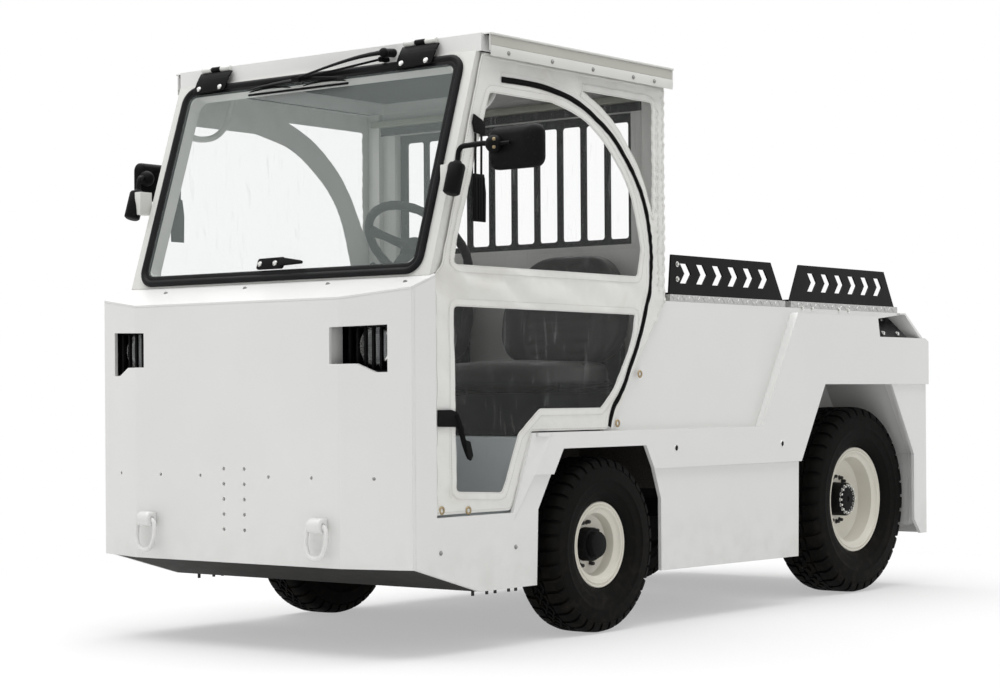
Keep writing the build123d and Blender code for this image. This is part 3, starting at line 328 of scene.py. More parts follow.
def tyre_rubber(name, colour):
    """Tyre rubber with a little brown dust in patches low on the tyre."""
    f = Finish(name)
    dust = f.noise(26.0, 6.0, None, 0.6).step(0.45, 0.75) * (1 - f.z.step(0.05, 0.45))
    return f.surface(
        Base_Color=f.mix(dust * 0.35, tone(colour), (0.030, 0.023, 0.017, 1.0)),
        Roughness=0.62 + 0.2 * f.noise(60.0, 4.0),
        Normal=f.bump(f.noise(420.0, 4.0), 0.0009, 0.35),
        Specular_IOR_Level=0.07,
    )


def hard(name, colour, metallic, roughness, wear=0.0):
    """A small hard fitting: metal or moulded plastic with faint wear."""
    f = Finish(name)
    rub = f.noise(140.0, 5.0).step(0.55, 0.8)
    return f.surface(
        Base_Color=f.mix(rub * wear, tone(colour), tone((0.35, 0.34, 0.32))),
        Metallic=metallic,
        Roughness=roughness + 0.15 * f.noise(80.0, 3.0),
        Normal=f.bump(f.noise(900.0, 2.0), 0.0003, 0.3),
        Specular_IOR_Level=0.5 if metallic else 0.07,
    )


def hide(name):
    """Grained vinyl of the seats."""
    f = Finish(name)
    grain = f.node("ShaderNodeTexVoronoi", {"feature": "SMOOTH_F1"}, {"Vector": f.place, "Scale": 420.0})
    return f.surface(
        Base_Color=f.mix(f.noise(9.0, 4.0).step(0.3, 0.8), (0.012, 0.0115, 0.011, 1.0),
                         (0.024, 0.023, 0.022, 1.0)),
        Roughness=0.45 + 0.12 * f.noise(16.0, 4.0),
        Normal=f.bump(grain, 0.0007, 0.6),
        Specular_IOR_Level=0.28,
    )


def webbing(name, colour):
    """Woven strap."""
    f = Finish(name)
    warp = f.node("ShaderNodeTexWave", {"bands_direction": "Y"}, {"Vector": f.place, "Scale": 90.0})
    weft = f.node("ShaderNodeTexWave", {"bands_direction": "Z"}, {"Vector": f.place, "Scale": 240.0})
    return f.surface(
        Base_Color=f.mix(warp * weft, tone(colour, 0.6), tone(colour, 1.5)),
        Roughness=0.7 + 0.1 * f.noise(50.0, 3.0),
        Normal=f.bump(warp + weft * 0.5, 0.0009, 0.7),
        Specular_IOR_Level=0.1,
    )


def lens(name, colour):
    """A moulded lamp lens with prisms behind a smooth face."""
    f = Finish(name)
    prisms = f.node("ShaderNodeTexWave", {"bands_direction": "X"}, {"Vector": f.place, "Scale": 60.0}) \
        * f.node("ShaderNodeTexWave", {"bands_direction": "Z"}, {"Vector": f.place, "Scale": 60.0})
    return f.surface(
        Base_Color=f.mix(prisms, tone(colour, 0.7), tone(colour, 1.3)),
        Roughness=0.16 + 0.05 * prisms,
        Normal=f.bump(prisms, 0.0015, 0.6),
        Coat_Weight=0.8,
        Coat_Roughness=0.05,
    )


# Each finish: its maker, the record's slot for its pieces, which the script keeps but does not read, and what the
# maker is told. A word names one of the colours in TugFinishes.
FINISHES = {
    "body_white": (body_paint, "white_paint", "white", 0.965),
    # The cab's white is a darker copy of the body white: painted shade of the posts and rear wall under the roof,
    # also used on the hinge barrels, handles, flange and mirror brackets.
    "cab_white": (paint, "white_paint", "cab", 0.96, 0.42),
    "roof_white": (roof_paint, "white_paint", "white"),
    # Painted shadow: a flat grey band on the roof's side, standing in for the shade under the flange's overhang.
    "gutter_shade": (paint, "white_paint", (0.50, 0.495, 0.45), (0.46, 0.455, 0.41), 0.5),
    "beam_olive": (paint, "white_paint", (0.30, 0.30, 0.24), (0.24, 0.24, 0.19), 0.5, 300.0),
    "floor_grey": (paint, "grey_paint", "grey", 0.85, 0.5),
    "rail_black": (paint, "black_paint", "black", 0.7, 0.42, 500.0, 0.001),
    "chassis_black": (paint, "black_paint", (0.0078, 0.0078, 0.0084), 0.5, 0.7, 260.0),
    # Painted shade: the white-painted belly pan gets a near-black colour for the shade under the vehicle.
    "belly_olive": (paint, "black_paint", (0.028, 0.027, 0.023), (0.018, 0.017, 0.015), 0.6, 240.0),
    "rim_cream": (paint, "cream_paint", "rim", 0.93, 0.34, 500.0, 0.0015, 0.3),
    "well_liner": (well_paint, "black_paint", "white"),
    "deck_plate": (tread_plate, "tread_plate"),
    "screen_glass": (clear, "green_glass", "glass", 0.075, 0.5, 0.03, 0.0, True),
    "door_vinyl": (clear, "clear_vinyl", "vinyl", 0.012, 0.55, 0.07, 0.22),
    "door_cloth": (coated_cloth, "white_vinyl", "cloth"),
    "stitch_thread": (webbing, "white_vinyl", (0.62, 0.61, 0.56)),
    "zip_tape": (webbing, "rubber", (0.004, 0.004, 0.004)),
    "strap_web": (webbing, "rubber", (0.006, 0.006, 0.006)),
    "seal_rubber": (rubber, "rubber", (0.007, 0.007, 0.008), 0.42),
    "tyre_rubber": (tyre_rubber, "tyre", "tyre"),
    "black_plastic": (hard, "black_plastic", (0.0055, 0.0055, 0.006), 0.0, 0.42, 0.02),
    "grey_plastic": (hard, "black_plastic", (0.10, 0.10, 0.10), 0.0, 0.5, 0.1),
    "mirror_face": (hard, "black_plastic", (0.86, 0.88, 0.88), 1.0, 0.0),
    "bright_steel": (hard, "iron", (0.72, 0.72, 0.70), 1.0, 0.2, 0.2),
    "dull_steel": (hard, "iron", (0.26, 0.26, 0.25), 1.0, 0.34, 0.2),
    "brass": (hard, "iron", (0.34, 0.27, 0.16), 1.0, 0.33, 0.1),
    "cast_iron": (hard, "iron", (0.035, 0.034, 0.033), 0.3, 0.6, 0.3),
    "seat_vinyl": (hide, "seat_cover"),
    "red_lens": (lens, "lamp_plastic", (0.42, 0.012, 0.010)),
    "clear_lens": (lens, "lamp_plastic", (0.42, 0.44, 0.45)),
}
made_finishes = {}


def finish(name):
    """The material of a finish, made when it is first asked for."""
    if name not in made_finishes:
        maker, _, *told = FINISHES[name]
        colours = bpy.context.scene.tug_finishes
        told = [getattr(colours, value) if isinstance(value, str) else value for value in told]
        made_finishes[name] = maker(name, *told)
    return made_finishes[name]


# Shapes


def rounded(points, radius, steps=4, shut=False):
    """The points of a line with each corner replaced by a short curve."""
    result = []
    count = len(points)
    for i, point in enumerate(points):
        if not shut and i in (0, count - 1):
            result.append(Vector(point))
            continue
        p = Vector(point)
        a = Vector(points[i - 1]) - p
        b = Vector(points[(i + 1) % count]) - p
        turn = a.angle(b, pi)
        if turn > pi - 0.02:
            result.append(p)
            continue
        cut = min(radius / tan(turn / 2), 0.48 * a.length, 0.48 * b.length)
        start, end = p + a.normalized() * cut, p + b.normalized() * cut
        for k in range(steps + 1):
            t = k / steps
            result.append(start * (1 - t) ** 2 + p * (2 * t * (1 - t)) + end * t * t)
    return result


def smooth_line(points, steps=6):
    """A Catmull-Rom curve through points."""
    p = [Vector(q) for q in points]
    last = len(p) - 1
    result = []
    for i in range(last):
        a, b, c, e = (p[min(max(i + k, 0), last)] for k in (-1, 0, 1, 2))
        for k in range(steps):
            t = k / steps
            result.append(0.5 * (2 * b + (c - a) * t + (2 * a - 5 * b + 4 * c - e) * t * t
                                 + (3 * b - a - 3 * c + e) * t ** 3))
    return result + [p[-1]]


def spaced(points, gap, shut=False):
    """Points at even distances along a line."""
    line = [Vector(q) for q in points]
    if shut:
        line.append(line[0])
    lengths = [(b - a).length for a, b in zip(line, line[1:])]
    total = sum(lengths)
    count = max(2, round(total / gap))
    result, piece, walked = [], 0, 0.0
    for k in range(count + (0 if shut else 1)):
        want = total * k / count
        while piece < len(lengths) - 1 and walked + lengths[piece] < want:
            walked += lengths[piece]
            piece += 1
        t = (want - walked) / lengths[piece] if lengths[piece] else 0.0
        result.append(line[piece].lerp(line[piece + 1], min(max(t, 0.0), 1.0)))
    return result


def round_box_loop(half_w, low, high, corner, steps=6):
    """Points (x, y) and outward directions round a rounded rectangle."""
    result = []
    for cx, cy, start in ((half_w - corner, high - corner, 0), (corner - half_w, high - corner, 90),
                          (corner - half_w, low + corner, 180), (half_w - corner, low + corner, 270)):
        for k in range(steps + 1):
            a = radians(start + 90 * k / steps)
            result.append(((cx + corner * cos(a), cy + corner * sin(a)), (cos(a), sin(a))))
    return result


def along(path, ring=False):
    """A tangent and two cross directions at each point of a path."""
    count = len(path)
    tangents = []
    for i in range(count):
        before = path[i - 1] if ring or i else path[i]
        after = path[(i + 1) % count] if ring or i < count - 1 else path[i]
        tangents.append((after - before).normalized())
    first = tangents[0].orthogonal().normalized()
    result = []
    for t in tangents:
        first = (first - t * first.dot(t)).normalized()
        result.append((t, first, t.cross(first)))
    return result


class Form:
    """A shape under construction, in metres."""

    def __init__(self):
        self.bm = bmesh.new()

    def skin(self, loops, shut=True, ring=False):
        """Faces between loops of equal length; a ring joins the last loop to the first."""
        rows = [[self.bm.verts.new(p) for p in loop] for loop in loops]
        pairs = list(zip(rows, rows[1:]))
        if ring:
            pairs.append((rows[-1], rows[0]))
        for a, b in pairs:
            count = len(a)
            for i in range(count if shut else count - 1):
                j = (i + 1) % count
                self.bm.faces.new((a[i], a[j], b[j], b[i]))
        if not ring:
            self.bm.faces.new(list(reversed(rows[0])))
            self.bm.faces.new(rows[-1])
        return self

    def box(self, x, d, z):
        """A block between pairs of places."""
        loops = [[at(x[i], d[j], zz) for i, j in ((0, 0), (1, 0), (1, 1), (0, 1))] for zz in z]
        return self.skin(loops)

    def slab(self, points, place, low, high):
        """A plate on an outline, from low to high; place turns a point and a height into a place."""
        return self.skin([[place(*p, height) for p in points] for height in (low, high)])

    def tube(self, path, radius, sides=12, ring=False, flat=1.0):
        """A round bar along a path in metres; radius in millimetres, one or one for each point."""
        size = list(radius) if hasattr(radius, "__iter__") else [radius] * len(path)
        loops = []
        for (t, a, b), p, r in zip(along(path, ring), path, size):
            loops.append([p + (a * cos(2 * pi * k / sides) + b * flat * sin(2 * pi * k / sides)) * r * MM
                          for k in range(sides)])
        return self.skin(loops, ring=ring)

    def lathe(self, section, centre, axis, steps=48, shut=True):
        """Turns a section of (across, radius) points about an axis; shut joins its last point to its first."""
        axis = axis.normalized()
        a = axis.orthogonal().normalized()
        b = axis.cross(a)
        loops = []
        for k in range(steps):
            turn = 2 * pi * k / steps
            out = a * cos(turn) + b * sin(turn)
            loops.append([centre + (axis * x + out * r) * MM for x, r in section])
        return self.skin(loops, shut=shut, ring=True)

    def ball(self, centre, radius, rings=10):
        """A ball."""
        matrix = Matrix.Translation(centre) @ Matrix.Diagonal((radius * MM, radius * MM, radius * MM, 1))
        bmesh.ops.create_uvsphere(self.bm, u_segments=2 * rings, v_segments=rings, radius=1, matrix=matrix)
        return self

    def pillow(self, centre, half, power=4.0, across=14, around=28, warp=None):
        """A soft block: a rounded box of half sizes in millimetres, each point moved by warp where given."""
        loops = []
        for i in range(1, across):
            v = pi * (i / across - 0.5)
            loop = []
            for k in range(around):
                u = 2 * pi * k / around
                raw = (cos(v) * cos(u), cos(v) * sin(u), sin(v))
                size = sum(abs(c) ** power for c in raw) ** (1 / power)
                p = Vector([c / size * h for c, h in zip(raw, half)])
                loop.append(centre + (warp(p) if warp else p) * MM)
            loops.append(loop)
        return self.skin(loops)


def placed(name, mesh):
    """A new object of a mesh, in the scene."""
    piece = bpy.data.objects.new(name, mesh)
    bpy.context.scene.collection.objects.link(piece)
    return piece


def loose(name, form):
    """Turns a form into an object, which is a scratch one until it is dressed."""
    mesh = bpy.data.meshes.new(name)
    form.bm.to_mesh(mesh)
    form.bm.free()
    return placed(name, mesh)


def settle(piece):
    """Applies a piece's modifiers."""
    graph = bpy.context.evaluated_depsgraph_get()
    mesh = bpy.data.meshes.new_from_object(piece.evaluated_get(graph), depsgraph=graph)
    piece.modifiers.clear()
    piece.data = mesh
    return piece


def modify(piece, kind, **settings):
    """Gives a piece a modifier with its settings and applies it."""
    modifier = piece.modifiers.new(kind.lower(), kind)
    for name, value in settings.items():
        setattr(modifier, name, value)
    return settle(piece)


def put(form, name, look, body="chassis", replaces=(), smooth=40.0, bevel=0.0):
    """Turns a form into a finished piece of the vehicle, with its faces outwards."""
    bmesh.ops.remove_doubles(form.bm, verts=form.bm.verts, dist=1e-6)
    bmesh.ops.dissolve_degenerate(form.bm, edges=form.bm.edges, dist=1e-7)
    bmesh.ops.recalc_face_normals(form.bm, faces=form.bm.faces)
    piece = loose(name, form)
    if bevel:
        modify(piece, "BEVEL", width=bevel * MM, segments=2, limit_method="ANGLE", angle_limit=radians(32))
    return dress(piece, look, body, replaces, smooth)


def dress(piece, look, body="chassis", replaces=(), smooth=40.0):
    """Gives a piece its finish, its shading and its body."""
    piece.data.materials.clear()
    piece.data.materials.append(finish(look))
    piece.data.shade_smooth()
    piece.data.set_sharp_from_angle(angle=radians(smooth))
    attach(piece, body)
    if replaces:
        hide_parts(*replaces)
    return piece


def new_tree(name, inputs):
    """A geometry tree with named inputs: returns its graph and its input node's wire."""
    tree = bpy.data.node_groups.new(name, "GeometryNodeTree")
    graph = Graph(tree)
    tree.interface.new_socket("Geometry", in_out="INPUT", socket_type="NodeSocketGeometry")
    for label, kind, value in inputs:
        socket = tree.interface.new_socket(label, in_out="INPUT", socket_type=kind)
        if value is not None:
            socket.default_value = value
    tree.interface.new_socket("Geometry", in_out="OUTPUT", socket_type="NodeSocketGeometry")
    return graph, graph.node("NodeGroupInput")


def close_tree(graph, source, instances):
    """Ends a tree in Realize Instances and Set Material."""
    solid = graph.node("GeometryNodeRealizeInstances", (), {0: instances})
    coloured = graph.node("GeometryNodeSetMaterial", (), {0: solid, "Material": source.out("Finish")})
    graph.node("NodeGroupOutput", (), {0: coloured})
    return graph.tree


def run_tree(tree, base, name, look, values, body="chassis", smooth=35.0):
    """Runs a tree on a scratch object and returns its result as a finished piece."""
    modifier = base.modifiers.new("rule", "NODES")
    modifier.node_group = tree
    values = dict(values, Finish=finish(look))
    for item in tree.interface.items_tree:
        if item.item_type == "SOCKET" and item.in_out == "INPUT" and item.name in values:
            modifier[item.identifier] = values[item.name]
    settle(base)
    base.name = name
    return dress(base, look, body, smooth=smooth)


def tree_fasteners():
    """Heads on points: a shank end or dome on a washer, turned to the points' facing."""
    graph, source = new_tree("fasteners", (
        ("Sides", "NodeSocketInt", 6), ("Head Radius", "NodeSocketFloat", 0.006),
        ("Head Top", "NodeSocketFloat", 0.005), ("Head Height", "NodeSocketFloat", 0.004),
        ("Washer Radius", "NodeSocketFloat", 0.009), ("Washer Height", "NodeSocketFloat", 0.0015),
        ("Finish", "NodeSocketMaterial", None)))
    head = graph.node("GeometryNodeMeshCone", (), {
        "Vertices": source.out("Sides"), "Radius Top": source.out("Head Top"),
        "Radius Bottom": source.out("Head Radius"), "Depth": source.out("Head Height")})
    head = graph.node("GeometryNodeTransform", (), {
        0: head, "Translation": graph.node("ShaderNodeCombineXYZ", (), {"Z": source.out("Washer Height")})})
    washer = graph.node("GeometryNodeMeshCylinder", (), {
        "Vertices": 16, "Radius": source.out("Washer Radius"), "Depth": source.out("Washer Height")})
    both = graph.node("GeometryNodeJoinGeometry")
    graph.tree.links.new(head.socket, both.socket.node.inputs[0])
    graph.tree.links.new(washer.socket, both.socket.node.inputs[0])
    facing = graph.node("GeometryNodeInputNamedAttribute", {"data_type": "FLOAT_VECTOR"}, {"Name": "facing"})
    turn = graph.node("FunctionNodeAlignRotationToVector", {"axis": "Z"}, {"Vector": facing})
    copies = graph.node("GeometryNodeInstanceOnPoints", (),
                        {"Points": source, "Instance": both, "Rotation": turn})
    return close_tree(graph, source, copies)


def tree_ring():
    """Copies of a piece evenly round the vehicle's cross axis, then moved to a centre."""
    graph, source = new_tree("ring_of_pieces", (
        ("Piece", "NodeSocketObject", None), ("Count", "NodeSocketInt", 36),
        ("Centre", "NodeSocketVector", None),
        ("Finish", "NodeSocketMaterial", None)))
    shape = graph.node("GeometryNodeObjectInfo", (), {0: source.out("Piece")}).out("Geometry")
    points = graph.node("GeometryNodePoints", (), {"Count": source.out("Count")})
    index = graph.node("GeometryNodeInputIndex")
    angle = index * (2 * pi) / source.out("Count")
    turn = graph.node("FunctionNodeEulerToRotation", (),
                      {0: graph.node("ShaderNodeCombineXYZ", (), {"X": angle})})
    copies = graph.node("GeometryNodeInstanceOnPoints", (),
                        {"Points": points, "Instance": shape, "Rotation": turn})
    moved = graph.node("GeometryNodeTransform", (), {
        0: graph.node("GeometryNodeRealizeInstances", (), {0: copies}), "Translation": source.out("Centre")})
    return close_tree(graph, source, moved)


def tree_path():
    """Copies of a small block along the edges of a line, turned to it and to its facing."""
    graph, source = new_tree("blocks_on_path", (
        ("Spacing", "NodeSocketFloat", 0.006), ("Block", "NodeSocketVector", None),
        ("Finish", "NodeSocketMaterial", None)))
    curve = graph.node("GeometryNodeMeshToCurve", (), {0: source})
    points = graph.node("GeometryNodeCurveToPoints", {"mode": "LENGTH"},
                        {0: curve, "Length": source.out("Spacing")})
    block = graph.node("GeometryNodeMeshCube", (), {"Size": source.out("Block")})
    turn = graph.node("FunctionNodeAlignRotationToVector", {"axis": "Z"}, {"Vector": points.out("Tangent")})
    across = graph.node("FunctionNodeAlignRotationToVector", {"axis": "X", "pivot_axis": "Z"},
                        {"Rotation": turn, "Vector": (1.0, 0.0, 0.0)})
    copies = graph.node("GeometryNodeInstanceOnPoints", (),
                        {"Points": points, "Instance": block, "Rotation": across})
    return close_tree(graph, source, copies)


def tree_lozenges():
    """Raised lozenges on points, turned by turns one way and the other."""
    graph, source = new_tree("lozenges", (
        ("Long", "NodeSocketFloat", 0.026), ("Wide", "NodeSocketFloat", 0.006),
        ("High", "NodeSocketFloat", 0.002),
        ("Finish", "NodeSocketMaterial", None)))
    bump = graph.node("GeometryNodeMeshIcoSphere", (), {"Radius": 0.5, "Subdivisions": 1})
    bump = graph.node("GeometryNodeTransform", (), {0: bump, "Scale": graph.node(
        "ShaderNodeCombineXYZ", (),
        {"X": source.out("Long"), "Y": source.out("Wide"), "Z": source.out("High")})})
    facing = graph.node("GeometryNodeInputNamedAttribute", {"data_type": "FLOAT_VECTOR"}, {"Name": "facing"})
    lean = graph.node("GeometryNodeInputNamedAttribute", {"data_type": "FLOAT_VECTOR"}, {"Name": "lean"})
    turn = graph.node("FunctionNodeAlignRotationToVector", {"axis": "Z"}, {"Vector": facing})
    turn = graph.node("FunctionNodeAlignRotationToVector", {"axis": "X", "pivot_axis": "Z"},
                      {"Rotation": turn, "Vector": lean})
    copies = graph.node("GeometryNodeInstanceOnPoints", (),
                        {"Points": source, "Instance": bump, "Rotation": turn})
    return close_tree(graph, source, copies)


trees = {}


def tree(name):
    """A geometry tree, made when it is first asked for."""
    if name not in trees:
        trees[name] = {"fasteners": tree_fasteners, "ring": tree_ring, "path": tree_path,
                       "lozenges": tree_lozenges}[name]()
    return trees[name]


def facing_points(rows, extra=None):
    """A scratch mesh of points with a facing direction each, and a lean where given."""
    mesh = bpy.data.meshes.new("points")
    mesh.from_pydata([tuple(row[0]) for row in rows], [], [])
    facing = mesh.attributes.new("facing", "FLOAT_VECTOR", "POINT")
    facing.data.foreach_set("vector", [c for row in rows for c in row[1]])
    if extra:
        lean = mesh.attributes.new("lean", "FLOAT_VECTOR", "POINT")
        lean.data.foreach_set("vector", [c for v in extra for c in v])
    return placed("points", mesh)


def bolts(name, rows, look="bright_steel", body="chassis", sides=6, head=6.0, top=5.0, high=4.0, washer=9.0,
          seat=1.4):
    """Screws or bolts at (place, facing) rows; sizes in millimetres."""
    values = {"Sides": sides, "Head Radius": head * MM, "Head Top": top * MM, "Head Height": high * MM,
              "Washer Radius": washer * MM, "Washer Height": seat * MM}
    return run_tree(tree("fasteners"), facing_points(rows), name, look, values, body)


def dashes(name, lines, look, spacing, block):
    """Stitches or teeth along lines of places."""
    mesh = bpy.data.meshes.new("line")
    points, edges = [], []
    for line in lines:
        first = len(points)
        points += [tuple(p) for p in line]
        edges += [(first + i, first + i + 1) for i in range(len(line) - 1)]
    mesh.from_pydata(points, edges, [])
    values = {"Spacing": spacing * MM, "Block": tuple(c * MM for c in block)}
    return run_tree(tree("path"), placed("line", mesh), name, look, values)


# Sizes and colours that a user would change


def colour(name, description, *rgb):
    return FloatVectorProperty(name=name, description=description, subtype="COLOR", size=3, min=0, max=1,
                               default=rgb)


def length(name, description, default):
    return FloatProperty(name=name, description=description, subtype="DISTANCE", unit="LENGTH", default=default)


class TugFinishes(bpy.types.PropertyGroup):
    white: colour("Body white", "Colour of the body panels", 0.79, 0.79, 0.775)
    # Darker than the body white: painted shade of the cab's posts and rear wall.
    cab: colour("Cab white", "Colour of the cab's posts and rear wall", 0.70, 0.70, 0.67)
    grey: colour("Floor grey", "Colour of the cab floor", 0.52, 0.56, 0.57)
    black: colour("Rail black", "Colour of the rails and the guard", 0.0065, 0.0065, 0.007)
    rim: colour("Rim cream", "Colour of the wheel rims", 0.76, 0.73, 0.64)
    cloth: colour("Door cloth", "Colour of the soft doors", 0.82, 0.82, 0.79)
    glass: colour("Glass veil", "Colour that the windscreen adds", 0.60, 0.69, 0.66)
    vinyl: colour("Vinyl veil", "Colour that the clear panes add", 0.66, 0.68, 0.66)
    tyre: colour("Tyre black", "Colour of the tyres", 0.0048, 0.0046, 0.0042)


class TugSizes(bpy.types.PropertyGroup):
    hem: length("Pane hem", "Width of the hem round a clear pane", 0.024)
    stitch: length("Stitch", "Distance between stitches", 0.0085)
    zip_width: length("Zip tape", "Width of the door zip's tape", 0.017)
    lugs: IntProperty(name="Lugs", description="Shoulder lugs round each tyre", default=38, min=12, max=80)
    lug_depth: length("Tread depth", "Depth of the tyre tread", 0.008)
    lozenge: length("Lozenge pitch", "Distance between lozenges on the deck", 0.030)


class TugStage(bpy.types.PropertyGroup):
    key: FloatProperty(name="Overhead light", description="Power of the overhead panel", unit="POWER",
                       default=420.0)
    fill: FloatProperty(name="Surrounding light", description="Strength of the light from all round",
                        default=0.56)
    floor: colour("Floor", "Colour of the floor", 0.84, 0.84, 0.84)


# Operators, one for each group of pieces


CAMERA_PLACE = (4.5695, -6.1568, 0.7311)
CAMERA_YAW = 0.6656
CAMERA_ROLL = -0.0063
CAMERA_LENS = 79.91
CAMERA_SHIFT = 0.0452


class TUG_OT_camera(bpy.types.Operator):
    """Place the camera"""
    bl_idname = "tug.camera"
    bl_label = "Camera"

    def execute(self, context):
        scene = context.scene
        data = bpy.data.cameras.new("camera")
        data.lens = CAMERA_LENS
        data.sensor_width = 36.0
        data.shift_y = CAMERA_SHIFT
        data.clip_end = 200.0
        camera = bpy.data.objects.new("camera", data)
        right = Vector((cos(CAMERA_YAW), sin(CAMERA_YAW), 0))
        ahead = Vector((-sin(CAMERA_YAW), cos(CAMERA_YAW), 0))
        across = right * cos(CAMERA_ROLL) + UP * sin(CAMERA_ROLL)
        upward = UP * cos(CAMERA_ROLL) - right * sin(CAMERA_ROLL)
        turn = Matrix((across, upward, -ahead)).transposed().to_4x4()
        camera.matrix_world = Matrix.Translation(Vector(CAMERA_PLACE)) @ turn
        scene.collection.objects.link(camera)
        scene.camera = camera
        return {"FINISHED"}


NODE_FINISHES = {
    "body_white": ("front_fascia", "front_cowl", "side_skirts", "rear_panel"),
    "cab_white": ("cab_frame", "cab_rear_wall"),
    "roof_white": ("cab_roof",),
    "floor_grey": ("cab_floor",),
    "rail_black": ("lid_rails", "deck_rails", "rear_guard", "corner_plates"),
    "chassis_black": ("main_frame", "front_axle", "rear_axle", "knuckle_left", "knuckle_right", "power_unit"),
    "belly_olive": ("belly_pan",),
    "well_liner": ("wheel_wells",),
    "deck_plate": ("deck_lid", "rear_deck"),
    "screen_glass": ("cab_glass",),
    "black_plastic": ("dash",),
    "cast_iron": ("tow_hitch",),
}


class TUG_OT_finishes(bpy.types.Operator):
    """Give the frame's own plates their paint, metal and glass"""
    bl_idname = "tug.finishes"
    bl_label = "Paint and metal"

    def execute(self, context):
        for look, nodes in NODE_FINISHES.items():
            for node in nodes:
                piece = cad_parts[node]
                piece.data.materials.clear()
                piece.data.materials.append(finish(look))
        return {"FINISHED"}


# Opening of the rear arch as (d, z), and the fold that rises from the doorway's slanted edge to the band,
# as (d, z, x)
REAR_OPENING = ((2150, 560), (2304, 763), (2800, 763), (2946, 560))
FOLD = ((611, 620, 622), (693, 620, 633), (637, 496, 633), (607, 496, 633), (518, 366, 622), (562, 496, 622))
FOLD_FACES = ((0, 1, 5), (1, 2, 3), (1, 3, 5), (5, 3, 4))
REAR_LIP = ((2790, 765), (2820, 765), (3006, 499), (3006, 236))


class TUG_OT_sides(bpy.types.Operator):
    """Build the side plates, with the arch open behind the band and the folded corner at the doorway"""
    bl_idname = "tug.sides"
    bl_label = "Side plates"

    def execute(self, context):
        for side, word in ((1, "left"), (-1, "right")):
            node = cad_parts["body_side_" + word]
            form = Form()
            form.bm.from_mesh(node.data)
            form.bm.transform(node.matrix_world)
            bmesh.ops.remove_doubles(form.bm, verts=form.bm.verts, dist=1e-5)
            cutter = Form().slab(REAR_OPENING, beside(side), 584, 604)
            for made in (form, cutter):
                bmesh.ops.recalc_face_normals(made.bm, faces=made.bm.faces)
            opening = loose("opening", cutter)
            piece = modify(loose("side_plates_" + word, form), "BOOLEAN", operation="DIFFERENCE",
                           object=opening)
            bpy.data.objects.remove(opening)
            dress(piece, "body_white", replaces=("body_side_" + word,), smooth=4)
            back = [(d + 4, z + 4) for d, z in REAR_LIP[::-1]]
            put(Form().slab([*REAR_LIP, *back], beside(side), 587, 609.6), "arch_lip_" + word, "body_white",
                smooth=4)
            fold = Form()
            outer = [fold.bm.verts.new(at(side * x, d, z)) for d, z, x in FOLD]
            inner = [fold.bm.verts.new(at(side * 621, d, z)) for d, z, _ in FOLD]
            for corners in FOLD_FACES:
                fold.bm.faces.new([outer[i] for i in corners])
            for i in range(len(FOLD)):
                fold.bm.faces.new([outer[i - 1], outer[i], inner[i], inner[i - 1]])
            fold.bm.faces.new(inner[::-1])
            put(fold, "doorway_fold_" + word, "body_white", smooth=4)
        return {"FINISHED"}


RING_X = 345.0
RING_Z = 370.0


class TUG_OT_rings(bpy.types.Operator):
    """Build the two tie-down rings in their sleeves"""
    bl_idname = "tug.rings"
    bl_label = "Tie-down rings"

    def execute(self, context):
        form = Form()
        for side in (-1, 1):
            x = side * RING_X
            section = ((-25, 8), (-25, 17), (-23, 20), (-20, 21.5), (20, 21.5), (23, 20), (25, 17), (25, 8))
            form.lathe(section, at(x, -22, RING_Z), LEFT, 28)
            form.box((x - 22, x + 22), (-22, -0.4), (RING_Z - 20, RING_Z + 20))
            loop = ((-37, 0), (37, 0), (38, -52), (24, -92), (-24, -92), (-38, -52))
            path = [at(x + px, -22 - 9 * (pz / -92.0), RING_Z + pz) for px, pz in loop]
            form.tube(rounded(path, 0.030, 5, True), 6.8, 12, ring=True)
        put(form, "tie_down_rings", "body_white", replaces=("front_rings",), bevel=0.8)
        return {"FINISHED"}


LAMP_EDGE = 376.0
LAMP_MIDDLE = (478.0, 872.0)
LAMP_OUTLINE = ((0, 825), (0, 921), (174, 926), (174, 799), (140, 799), (98, 821), (60, 822), (10, 818))


def wing(x):
    """How far the front plate is swept back at a place across."""
    return max(0.0, abs(x) - 412.0) * 66.0 / 210.0


class TUG_OT_headlamps(bpy.types.Operator):
    """Build the headlamps behind their guard bars"""
    bl_idname = "tug.headlamps"
    bl_label = "Headlamps"

    def execute(self, context):
        box, bars, bowl, glass, walls = Form(), Form(), Form(), Form(), Form()
        for side in (-1, 1):
            inner, outer = side * (LAMP_EDGE - 9), side * (LAMP_EDGE + 189)
            back = 146.0
            box.box(sorted((inner, outer)), (back - 4, back), (786, 938))
            for low, high in ((786, 790), (934, 938)):
                box.box(sorted((inner, outer)), (wing(outer) + 14, back - 4), (low, high))
            box.box(sorted((outer, outer - side * 4)), (wing(outer) + 14, back - 4), (790, 934))
            walls.box(sorted((inner, inner + side * 4)), (13, 62), (790, 934))
            for number in range(6):
                x = side * (LAMP_EDGE + 18 + 29 * number)
                bars.box((x - 4, x + 4), (64, 74), (790, 934))
            bars.box(sorted((inner + side * 4, outer - side * 4)), (66, 72), (922, 934))
            bars.box(sorted((inner + side * 4, outer - side * 4)), (66, 72), (790, 803))
            x, z = side * LAMP_MIDDLE[0], LAMP_MIDDLE[1]
            rim = ((0, 56), (6, 60), (14, 58), (16, 54), (12, 51), (-8, 44), (-26, 30), (-34, 8), (-34, 0),
                   (-40, 0), (-40, 34), (-20, 50))
            bowl.lathe(rim, at(x, 92, z), AHEAD, 36, shut=False)
            dome = ((2, 0), (1.6, 18), (0, 34), (-3, 50), (-6, 50), (-4, 30), (-2, 0))
            glass.lathe(dome, at(x, 84, z), AHEAD, 36, shut=False)
        put(box, "lamp_boxes", "black_plastic", replaces=("headlamps",))
        put(walls, "lamp_box_walls", "body_white", bevel=0.8)
        put(bars, "lamp_guard_bars", "black_plastic", bevel=1.0)
        put(bowl, "lamp_bowls", "bright_steel")
        put(glass, "lamp_lenses", "clear_lens")
        return {"FINISHED"}


